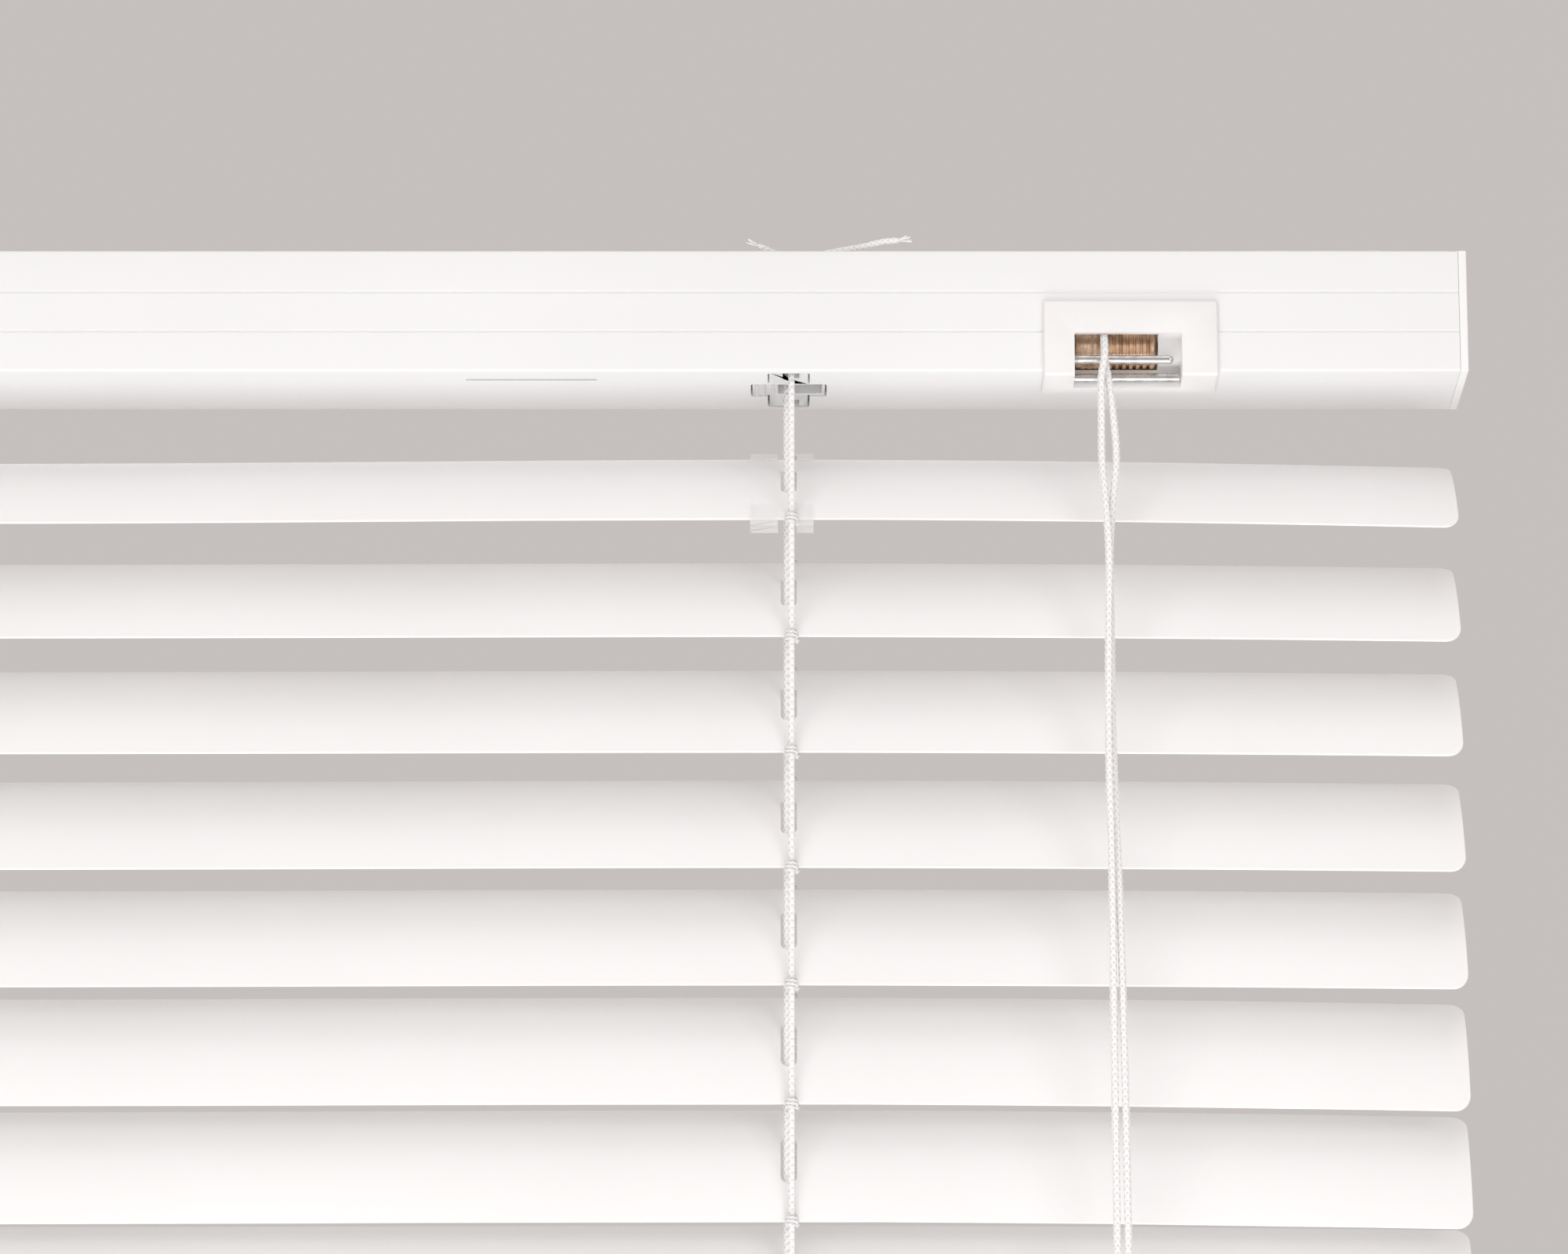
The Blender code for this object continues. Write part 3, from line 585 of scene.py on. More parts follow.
@dataclass
class Strand:
    """A cord, string or wire along a smooth line through its points.

    Fields: name, points, radius, how it is made, length of one ring of faces, faces round
    it, length of one turn of its strands, and whether its ends are rounded.
    """

    name: str
    points: Sequence[Point]
    radius: float
    lay: Lay = Lay.BRAIDED
    step: float = 0.6
    sides: int = 12
    pitch: float = 2.8
    tips: bool = False

    def line(self) -> list[Vector]:
        """The smooth line as closely spaced points, in millimetres."""
        knots = [Vector(p) for p in self.points]
        gaps = [(b - a).length for a, b in zip(knots, knots[1:])]
        slopes = [(b - a) / gap for a, b, gap in zip(knots, knots[1:], gaps)]
        heads = [slopes[0]]
        for i in range(1, len(knots) - 1):
            share = gaps[i] / (gaps[i - 1] + gaps[i])
            heads.append(slopes[i - 1] * share + slopes[i] * (1 - share))
        heads.append(slopes[-1])
        made = [knots[0]]
        for i, gap in enumerate(gaps):
            count = max(1, math.ceil(gap / self.step))
            leave = min(gap, 2.5 * gaps[max(i - 1, 0)])
            arrive = min(gap, 2.5 * gaps[min(i + 1, len(gaps) - 1)])
            for k in range(1, count + 1):
                t = k / count
                made.append(
                    knots[i] * (2 * t**3 - 3 * t**2 + 1)
                    + heads[i] * leave * (t**3 - 2 * t**2 + t)
                    + knots[i + 1] * (3 * t**2 - 2 * t**3)
                    + heads[i + 1] * arrive * (t**3 - t**2)
                )
        return made

    def swell(self, around: float, along: float) -> float:
        """The surface's share of the radius at an angle round and a distance along."""
        phase = math.tau * along / self.pitch
        if self.lay is Lay.BRAIDED:
            return 0.91 + 0.13 * math.cos(2 * around + phase) * math.cos(2 * around - phase)
        if self.lay is Lay.TWISTED:
            return 0.9 + 0.12 * abs(math.cos(1.5 * around - phase / 2))
        return 1.0

    def build(self) -> bpy.types.Object:
        """The strand as a closed tube with a map round and along it."""
        line = self.line()
        side = (line[1] - line[0]).orthogonal().normalized()
        places, along = [], 0.0
        total = sum((b - a).length for a, b in zip(line, line[1:]))
        distances = []
        for i, point in enumerate(line):
            ahead = (line[min(i + 1, len(line) - 1)] - line[max(i - 1, 0)]).normalized()
            side = (side - ahead * side.dot(ahead)).normalized()
            other = ahead.cross(side)
            if i:
                along += (point - line[i - 1]).length
            distances.append(along)
            reach = self.radius
            if self.tips:
                inset = min(1.0, min(along, total - along) / self.radius + 0.02)
                reach *= math.sqrt(max(0.0, 1 - (1 - inset) ** 2))
            for k in range(self.sides):
                angle = math.tau * k / self.sides
                out = side * math.cos(angle) + other * math.sin(angle)
                places.append((point + out * reach * self.swell(angle, along)) * MM)
        faces, uvs = [], []
        for i in range(len(line) - 1):
            for k in range(self.sides):
                after = (k + 1) % self.sides
                a, b = i * self.sides, (i + 1) * self.sides
                faces.append((a + k, a + after, b + after, b + k))
                for turn, place in ((k, i), (k + 1, i), (k + 1, i + 1), (k, i + 1)):
                    uvs.append((turn / self.sides, distances[place] / self.pitch))
        last = (len(line) - 1) * self.sides
        faces.append(tuple(reversed(range(self.sides))))
        faces.append(tuple(range(last, last + self.sides)))
        uvs += [(k / self.sides, 0.0) for k in range(2 * self.sides)]
        mesh = bpy.data.meshes.new(self.name)
        mesh.from_pydata(places, [], faces)
        layer = mesh.uv_layers.new(name="cord")
        layer.data.foreach_set("uv", [value for uv in uvs for value in uv])
        mesh.update()
        piece = bpy.data.objects.new(self.name, mesh)
        bpy.context.scene.collection.objects.link(piece)
        return piece


@dataclass
class Headrail:
    """The channel with its openings, its two end caps and its two brackets."""

    end: float = 298.4
    cap_end: float = 300.0
    top: float = -1.5
    bottom: float = -25.5
    half: float = 12.5
    wall: float = 1.2
    lip: float = 4.0
    grooves: tuple[float, float] = (8.3, 16.1)
    groove_radius: float = 0.34
    ladder_x: float = 171.0
    bracket_x: float = 272.0
    screw_spread: float = 7.0

    def channel(self) -> bpy.types.Object:
        """The folded channel: sides and floor, lips along the top, and its wall."""
        rail = bench.block("headrail_channel", (-self.end, -self.half, self.bottom),
                           (self.end, self.half, self.top))
        bench.pick(rail, Element.FACE, lambda place, normal: normal.z > 0.9 or abs(normal.x) > 0.9)
        bpy.ops.mesh.delete(type="FACE")
        for side in (-1, 1):
            bench.pick(rail, Element.EDGE, lambda place, way: abs(way.x) > 0.9
                       and place.z > self.top - 0.1 and place.y * side > self.half - 0.1)
            bpy.ops.mesh.extrude_region_move(
                TRANSFORM_OT_translate={"value": (0, -side * self.lip * MM, 0)})
            bench.clear()
        bench.pick(rail, Element.FACE, lambda place, normal: True)
        bpy.ops.mesh.normals_make_consistent(inside=False)
        bench.clear()
        front = [face for face in rail.data.polygons if abs(face.normal.y) > 0.9]
        if front and front[0].normal.y * front[0].center.y < 0:
            rail.data.flip_normals()
        bench.modify(rail, "SOLIDIFY", thickness=self.wall * MM, offset=-1, use_even_offset=True)
        return bench.round_edges(rail, 0.5, 4, lambda place, way: abs(way.x) > 0.9
                                 and abs(place.y) > self.half - 0.1)

    def openings(self) -> list[bpy.types.Object]:
        """The solids cut from the channel: grooves, cradle holes, slot, lock and tilter holes."""
        low, high = self.bottom - 3, self.bottom + self.wall + 1
        tools = []
        for drop in self.grooves:
            level, out = self.top - drop, self.half + 0.1
            tools.append(bench.rod("groove", (-320, -out, level), (320, -out, level),
                                   self.groove_radius, 16))
        for side in (-1, 1):
            x = side * self.ladder_x
            for across, deep in ((7.25, 4.0), (4.0, 10.85)):
                hole = bench.block("hole", (x - across, -deep, low), (x + across, deep, high))
                tools.append(bench.round_edges(hole, 0.7, 3, lambda place, way: abs(way.z) > 0.9))
        slot = bench.block("slot", (109.5, -7.3, low), (134.5, -6.3, high))
        tools.append(bench.round_edges(slot, 0.45, 3, lambda place, way: abs(way.z) > 0.9))
        tools.append(bench.block("lock_hole", (222.5, -14.5, low), (248.3, -4.5, -14.5)))
        tools.append(bench.rod("snout_hole", Tilter.on_worm(4), Tilter.on_worm(20), 3.4))
        return tools

    def cap(self, side: int) -> bpy.types.Object:
        """An end cap: a plate with a rolled edge and a shallow panel, and a hollow plug."""
        near, far = sorted((side * (self.end + 0.05), side * self.cap_end))
        cap = bench.block(f"end_plate_{'left' if side < 0 else 'right'}",
                          (near, -self.half, self.bottom), (far, self.half, self.top))
        bench.pick(cap, Element.FACE, lambda place, normal: normal.x * side > 0.9)
        bpy.ops.mesh.inset(thickness=2.2 * MM)
        bpy.ops.mesh.inset(thickness=0.35 * MM, depth=-0.3 * MM)
        bench.pick(cap, Element.FACE, lambda place, normal: normal.x * side < -0.9)
        bpy.ops.mesh.inset(thickness=1.5 * MM)
        bpy.ops.mesh.extrude_region_move(TRANSFORM_OT_translate={"value": (-side * 8 * MM, 0, 0)})
        bpy.ops.mesh.inset(thickness=1.4 * MM)
        bpy.ops.mesh.extrude_region_move(TRANSFORM_OT_translate={"value": (side * 7.6 * MM, 0, 0)})
        bench.clear()
        return bench.soften(cap, 0.22, 3)

    def bracket(self, word: str) -> bpy.types.Object:
        """A pressed bracket with rounded edges."""
        clip = bench.trace(f"bracket_{word}", f"clip_{word}")
        return bench.soften(clip, 0.18, 2)

    def screw(self, name: str, x: float) -> bpy.types.Object:
        """A countersunk screw with a cross recess, in its bracket's hole."""
        outline = [(0, 0.15), (1.0, 0.15), (1.5, 0), (1.5, -3.4), (1.7, -3.9), (3.4, -4.6),
                   (3.5, -5.0), (3.1, -5.7), (1.8, -6.1), (0, -6.2)]
        screw = bench.turn(name, outline, (x, 0, 0), steps=28)
        arms = [bench.block("recess", (x - a, -b, -6.6), (x + a, b, -5.2))
                for a, b in ((1.6, 0.3), (0.3, 1.6))]
        return bench.shape(screw, Join.CUT, arms)

    def build(self) -> int:
        """Makes and dresses every piece.

        Returns:
            How many pieces were made.
        """
        rail = bench.shape(self.channel(), Join.CUT, self.openings())
        dress(rail, RAIL_WHITE, "root", ["headrail"])
        for word, side in (("right", 1), ("left", -1)):
            dress(self.cap(side), CAP_WHITE, "root", [f"end_cap_{word}"])
            dress(self.bracket(word), PAINTED, "root", [f"bracket_{word}"])
            for number, shift in ((1, -self.screw_spread), (2, self.screw_spread)):
                screw = self.screw(f"screw_{word}_{number}", side * self.bracket_x + shift)
                dress(screw, SCREW_ZINC, "root")
        return 9


@dataclass
class CordLock:
    """The frame over the headrail's front lower edge, its roller and its bent wire."""

    left: float = 219.3
    right: float = 252.5
    front: float = -13.7
    under: float = -26.7
    top: float = -11.8
    window: tuple[float, float] = (225.2, 245.6)
    window_top: float = -18.2
    roller_y: float = -5.0
    roller_z: float = -19.1
    roller_radius: float = 3.9
    roller_right: float = 240.9
    rib_pitch: float = 1.3
    smooth_to: float = 5.2
    wire_radius: float = 0.85
    pin: tuple[float, float] = (-11.3, -22.9)
    bar: tuple[float, float] = (-6.8, -25.1)

    def frame(self) -> bpy.types.Object:
        """The moulded frame: face plate, foot, neck and inner body, with its window."""
        a, b = self.window[0] - 2.4, self.window[1] + 2.4
        plate = bench.block("lock_frame", (self.left, self.front, self.under),
                            (self.right, -12.52, self.top))
        bench.shape(plate, Join.ADD, [
            bench.block("foot", (self.left, self.front, self.under), (self.right, -1.5, -25.52))])
        bench.round_edges(plate, 0.55, 3, lambda place, way: place.y < self.front + 0.05
                          or place.z < self.under + 0.05)
        bench.shape(plate, Join.ADD, [
            bench.block("neck", (a, self.front + 0.4, self.under + 0.4), (b, -4.8, -14.8)),
            bench.block("body", (a, -11, -23.9), (b, 1, -11))])
        window = bench.block("window", (self.window[0], -17, -29),
                             (self.window[1], -5.5, self.window_top))
        bench.round_edges(window, 0.35, 3, lambda place, way: abs(way.y) > 0.9 and place.z > -20)
        bench.shape(plate, Join.CUT, [window])
        cavity = bench.block("cavity", (self.window[0] + 0.02, -12.35, -23.15),
                             (self.roller_right + 0.3, -0.3, -9.05))
        bench.shape(plate, Join.CUT, [cavity])
        boss = bench.block("boss", (self.roller_right + 0.4, -9.5, -22.6),
                           (self.window[1] + 0.6, -1.5, -15.2))
        bench.shape(plate, Join.ADD, [boss])
        return bench.soften(plate, 0.12, 2, 50)

    def roller(self) -> bpy.types.Object:
        """A roller with broad ribs, worn smooth at its left."""
        start, radius = self.window[0] + 0.3, self.roller_radius
        end = self.roller_right - start
        outline = [(0, 0), (radius - 0.6, 0), (radius - 0.15, 0.3)]
        place = 0.8
        while place < end - 1.1 * self.rib_pitch:
            deep = 0.1 if place < self.smooth_to else 0.4
            for part, drop in ((0.0, deep), (0.18, deep), (0.36, 0.0), (0.84, 0.0)):
                outline.append((radius - drop, place + part * self.rib_pitch))
            place += self.rib_pitch
        outline += [(radius - 0.1, end - 0.3), (radius - 0.6, end), (0, end)]
        return bench.turn("ribbed_roller", outline, (start, self.roller_y, self.roller_z),
                          (1, 0, 0), 48)

    def wire(self) -> Strand:
        """The bright pin, bent back inside the frame's left wall into the lower bar."""
        bend, (y, z), (bar_y, bar_z) = self.window[0] - 1.45, self.pin, self.bar
        return Strand("lock_pin_and_bar", [
            (244.1, y, z), (235, y, z), (bend + 1.1, y, z), (bend + 0.35, y + 0.3, z - 0.1),
            (bend, y + 1.4, z - 0.6), (bend, bar_y - 1.4, bar_z + 0.6),
            (bend + 0.35, bar_y - 0.3, bar_z + 0.1), (bend + 1.1, bar_y, bar_z),
            (235, bar_y, bar_z), (246.2, bar_y, bar_z)],
            self.wire_radius, Lay.PLAIN, 0.3, 20, 4, True)

    def build(self) -> int:
        """Makes and dresses every piece; gives how many were made."""
        dress(self.frame(), MOULDED_WHITE, "root", ["cord_lock_housing"], 30)
        dress(self.roller(), BRASS, "lock_roller", ["lock_roller"], 50)
        dress(self.wire().build(), WIRE_STEEL, "root", ["lock_wire"], 60)
        return 3


@dataclass
class Tilter:
    """The tilter's casing, worm and gear, the hook on the worm and the wand."""

    x: float = -235.0
    wand_radius: float = 3.0
    wand_length: float = 280.0
    hook_radius: float = 0.9
    hook_reach: float = 4.3

    @staticmethod
    def on_worm(reach: float) -> Vector:
        """A point on the worm's axis, a distance down from where it passes the gear."""
        return Vector((-235.0, -5.889 - 0.5 * reach, -10.1 - 0.866 * reach))

    def casing(self) -> bpy.types.Object:
        """The moulded casing with its snout and rounded edges."""
        casing = bench.trace("tilter_housing", "tilter_case")
        bench.soften(casing, 0.25, 2)
        return casing

    def worm(self) -> bpy.types.Object:
        """The worm with its thread, stem and ball."""
        start, end = self.on_worm(-4), self.on_worm(23.5)
        outline = [(0, 0), (1.1, 0), (1.3, 0.3)]
        for turn in range(6):
            outline += [(1.3, 0.5 + turn * 1.1), (1.9, 0.75 + turn * 1.1), (1.9, 1.0 + turn * 1.1),
                        (1.3, 1.25 + turn * 1.1)]
        outline += [(1.5, 7.6), (1.5, 24.9)]
        for step in range(1, 12):
            angle = math.radians(30 + step * 150 / 11)
            outline.append((3 * math.sin(angle), 27.5 - 3 * math.cos(angle)))
        return bench.turn("worm_screw", outline, start, end - start, 28)

    def hook(self) -> Strand:
        """The wire hook round the worm's ball, with a small eye at its lower end."""
        pivot = self.on_worm(23.5)
        points = []
        for step in range(9):
            angle = math.radians(150 + step * 15)
            points.append(pivot + Vector((0, self.hook_reach * math.cos(angle),
                                          self.hook_reach * math.sin(angle))))
        points += [pivot + Vector((0, 0, -self.hook_reach - drop)) for drop in (2.5, 5.2)]
        return Strand("wire_hook", points, self.hook_radius, Lay.PLAIN, 0.35, 16, 4, True)

    def wand(self) -> bpy.types.Object:
        """The six-sided wand with a collar at its top and a flared grip."""
        top = self.on_worm(23.5) + Vector((0, 0, -self.hook_reach - 5.2))
        length, radius = self.wand_length, self.wand_radius
        outline = [(0, 0), (1.5, 0), (1.9, -0.5), (1.9, -2.2), (2.5, -2.8), (2.9, -4.2),
                   (2.9, -8.5), (2.3, -9.2), (2.3, -10.0), (radius, -11.2), (radius, -60.0),
                   (radius, -150.0), (radius, 52 - length), (2.5, 50 - length),
                   (2.5, 48.5 - length), (3.3, 46.5 - length), (3.3, 4 - length),
                   (2.8, 1 - length), (2.0, -length), (0, -length)]
        wand = bench.turn("wand_bar", outline, top, steps=6)
        return bench.soften(wand, 0.18, 2, 25)

    def build(self) -> int:
        """Makes and dresses every piece; gives how many were made."""
        dress(self.casing(), MOULDED_WHITE, "root", ["tilter_housing"], 30)
        dress(self.worm(), WIRE_STEEL, "tilter_worm", ["tilter_worm"])
        dress(self.hook().build(), WIRE_STEEL, "wand_hook", ["wand_hook"], 60)
        dress(self.wand(), WAND_CLEAR, "wand", ["wand"], 25)
        return 4


@dataclass
class TiltShaft:
    """The hexagonal rod with a flanged drum over each ladder and the tilter's gear."""

    left: float = -262.0
    right: float = 182.0
    z: float = -13.5
    radius: float = 2.3
    drum_radius: float = 5.5
    ladder_x: float = 171.0

    def rod(self) -> bpy.types.Object:
        """The six-sided rod with chamfered ends."""
        length = self.right - self.left
        outline = [(0, 0), (self.radius - 0.4, 0), (self.radius, 0.5), (self.radius, length - 0.5),
                   (self.radius - 0.4, length), (0, length)]
        return bench.turn("hex_rod", outline, (self.left, 0, self.z), (1, 0, 0), 6)

    def drum(self, word: str, side: int) -> bpy.types.Object:
        """A drum with two flanges and a boss at each end."""
        rim, core, bore = self.drum_radius + 1, self.drum_radius, 2.6
        outline = [(bore, -5.5), (3.6, -5.5), (3.8, -5.2), (rim - 0.3, -5.2), (rim, -4.9),
                   (rim, -4.6), (rim - 0.2, -4.4), (core, -4.2), (core, -0.3), (core - 0.4, 0),
                   (core, 0.3), (core, 4.2), (rim - 0.2, 4.4), (rim, 4.6), (rim, 4.9),
                   (rim - 0.3, 5.2), (3.8, 5.2), (3.6, 5.5), (bore, 5.5), (bore, -5.5)]
        return bench.turn(f"flanged_drum_{word}", outline, (side * self.ladder_x, 0, self.z),
                          (1, 0, 0), 40)

    def coil(self, word: str, side: int) -> Strand:
        """The turns of ladder string on a drum."""
        points = []
        for step in range(26):
            angle = math.radians(180 + step * 28.8)
            reach = self.drum_radius + 0.72
            points.append((side * self.ladder_x + 0.5 - 1.6 + step * 0.128, reach * math.cos(angle),
                           self.z + reach * math.sin(angle)))
        return Strand(f"drum_string_{word}", points, 0.66, Lay.BRAIDED, 0.8, 10)

    def build(self) -> int:
        """Makes and dresses every piece; gives how many were made."""
        dress(self.rod(), ROD_STEEL, "tilt_shaft", ["tilt_rod"], 25)
        for word, side in (("right", 1), ("left", -1)):
            dress(self.drum(word, side), NYLON, "tilt_shaft", [f"drum_{word}"])
            dress(self.coil(word, side).build(), STRING, "tilt_shaft")
        gear = bench.soften(bench.trace("tilt_gear", "gear_wheel"), 0.12, 2, 35)
        dress(gear, NYLON, "tilt_shaft", ["tilt_gear"], 30)
        return 6


@dataclass
class Cradles:
    """The clear drum cradles in the headrail's floor."""

    ladder_x: float = 171.0
    bottom: float = -25.5

    def cradle(self, word: str, side: int) -> bpy.types.Object:
        """A cradle with rounded edges and three ribs under its left arm."""
        x = side * self.ladder_x
        cradle = bench.soften(bench.trace(f"cradle_{word}", f"clear_cradle_{word}"), 0.15, 2)
        ribs = [bench.block("rib", (x - at - 0.3, -3.2, self.bottom - 0.15),
                            (x - at + 0.3, 3.2, self.bottom + 0.6)) for at in (3.2, 4.7, 6.2)]
        return bench.shape(cradle, Join.ADD, ribs)

    def build(self) -> int:
        """Makes and dresses both cradles; gives how many pieces were made."""
        for word, side in (("right", 1), ("left", -1)):
            dress(self.cradle(word, side), CLEAR, "root", [f"cradle_{word}"])
        return 2


@dataclass
class Slats:
    """Sixteen curved slats with rounded corners and two route holes each."""

    count: int = 16
    pitch: float = 22.0
    top_z: float = -43.4
    half_length: float = 298.0
    width: float = 25.0
    crown: float = 2.0
    thickness: float = 0.4
    corner: float = 3.0
    hole: tuple[float, float] = (3.0, 10.0)
    ladder_x: float = 171.0
    upper_tilts: tuple[float, ...] = (43.0, 49.0, 52.5, 54.5, 58.5, 64.5)
    closed_tilt: float = 67.0

    @property
    def bow(self) -> float:
        """The radius that a slat is curved to."""
        return (self.width**2 / 4 + self.crown**2) / (2 * self.crown)

    def tilt(self, index: int) -> float:
        """A slat's tilt at rest, in radians, front edge down."""
        known = index < len(self.upper_tilts)
        return math.radians(self.upper_tilts[index] if known else self.closed_tilt)

    def level(self, index: int) -> float:
        """The height of a slat's crown line."""
        return self.top_z - index * self.pitch

    def place(self, index: int) -> Matrix:
        """Moves a mesh made flat about the crown line to a slat's place, in metres."""
        turn = Matrix.Rotation(self.tilt(index), 4, "X")
        return Matrix.Translation((0, 0, self.level(index) * MM)) @ turn

    def at(self, index: int, x: float, across: float, up: float) -> Vector:
        """A point given across and above a slat's crown line, in its place."""
        angle = self.tilt(index)
        return Vector((x, across * math.cos(angle) - up * math.sin(angle),
                       self.level(index) + across * math.sin(angle) + up * math.cos(angle)))

    def edge(self, index: int, x: float, face: int) -> Vector:
        """Where the ladder string passes a slat's edge: face is -1 in front, 1 behind."""
        point = self.at(index, x, face * self.width / 2, -self.crown)
        return point + Vector((0, face * 1.1, 0))

    def pattern(self) -> bpy.types.Object:
        """One flat-lying slat: an edge spun into an arc, thickened and cut to its outline."""
        half = math.asin((self.width / 2 + 0.4) / self.bow)
        long = self.half_length + 1
        start = (-long, self.bow * math.sin(-half), self.bow * (math.cos(half) - 1))
        sheet = bench.dot("slat_pattern", start)
        bpy.ops.mesh.extrude_vertices_move(TRANSFORM_OT_translate={"value": (2 * long * MM, 0, 0)})
        bpy.ops.mesh.select_all(action="SELECT")
        bpy.ops.mesh.subdivide(number_cuts=63)
        bpy.ops.mesh.select_all(action="SELECT")
        bpy.ops.mesh.spin(steps=12, angle=2 * half, center=(0, 0, -self.bow * MM), axis=(1, 0, 0))
        bpy.ops.mesh.select_all(action="SELECT")
        bpy.ops.mesh.remove_doubles(threshold=WELD)
        bpy.ops.mesh.normals_make_consistent(inside=False)
        bench.clear()
        if sheet.data.polygons[0].normal.z < 0:
            sheet.data.flip_normals()
        bench.modify(sheet, "SOLIDIFY", thickness=self.thickness * MM, offset=0)
        outline = bench.block("outline", (-self.half_length, -self.width / 2, -6),
                              (self.half_length, self.width / 2, 4))
        bench.round_edges(outline, self.corner, 6, lambda place, way: abs(way.z) > 0.9)
        bench.shape(sheet, Join.KEEP, [outline])
        wide, deep = (size / 2 for size in self.hole)
        for side in (-1, 1):
            x = side * self.ladder_x
            hole = bench.block("route", (x - wide, -deep, -4), (x + wide, deep, 4))
            bench.round_edges(hole, wide * 0.92, 5, lambda place, way: abs(way.z) > 0.9)
            bench.shape(sheet, Join.CUT, [hole])
        return bench.soften(sheet, 0.1, 1, 50)

    def settle(self, slat: bpy.types.Object, index: int, draw: random.Random) -> None:
        """Lets a placed slat sag between the ladders and droop at its free ends.

        Args:
            slat: The slat, in its place.
            index: Which slat it is, from the top.
            draw: Where its small differences come from.
        """
        sag = (0.9 if index == 0 else 0.4) + draw.uniform(-0.12, 0.12)
        droop = [(1.5 if index == 0 else 1.0) + draw.uniform(-0.3, 0.4) for _ in range(2)]
        free = self.half_length - self.ladder_x
        for vertex in slat.data.vertices:
            x = vertex.co.x / MM
            if abs(x) <= self.ladder_x:
                drop = sag * (1 - (x / self.ladder_x) ** 2) ** 2
            else:
                drop = droop[x > 0] * ((abs(x) - self.ladder_x) / free) ** 1.8
            vertex.co.z -= drop * MM

    def build(self) -> int:
        """Makes and dresses all slats; gives how many pieces were made."""
        draw = random.Random(7)
        pattern = self.pattern()
        for index in range(self.count):
            number = f"{index + 1:02d}"
            slat = bench.copy(pattern, f"curved_slat_{number}", self.place(index))
            self.settle(slat, index, draw)
            dress(slat, SLAT_WHITE, f"slat_{number}", [f"slat_{number}"], 30)
        bench.discard(pattern)
        return self.count


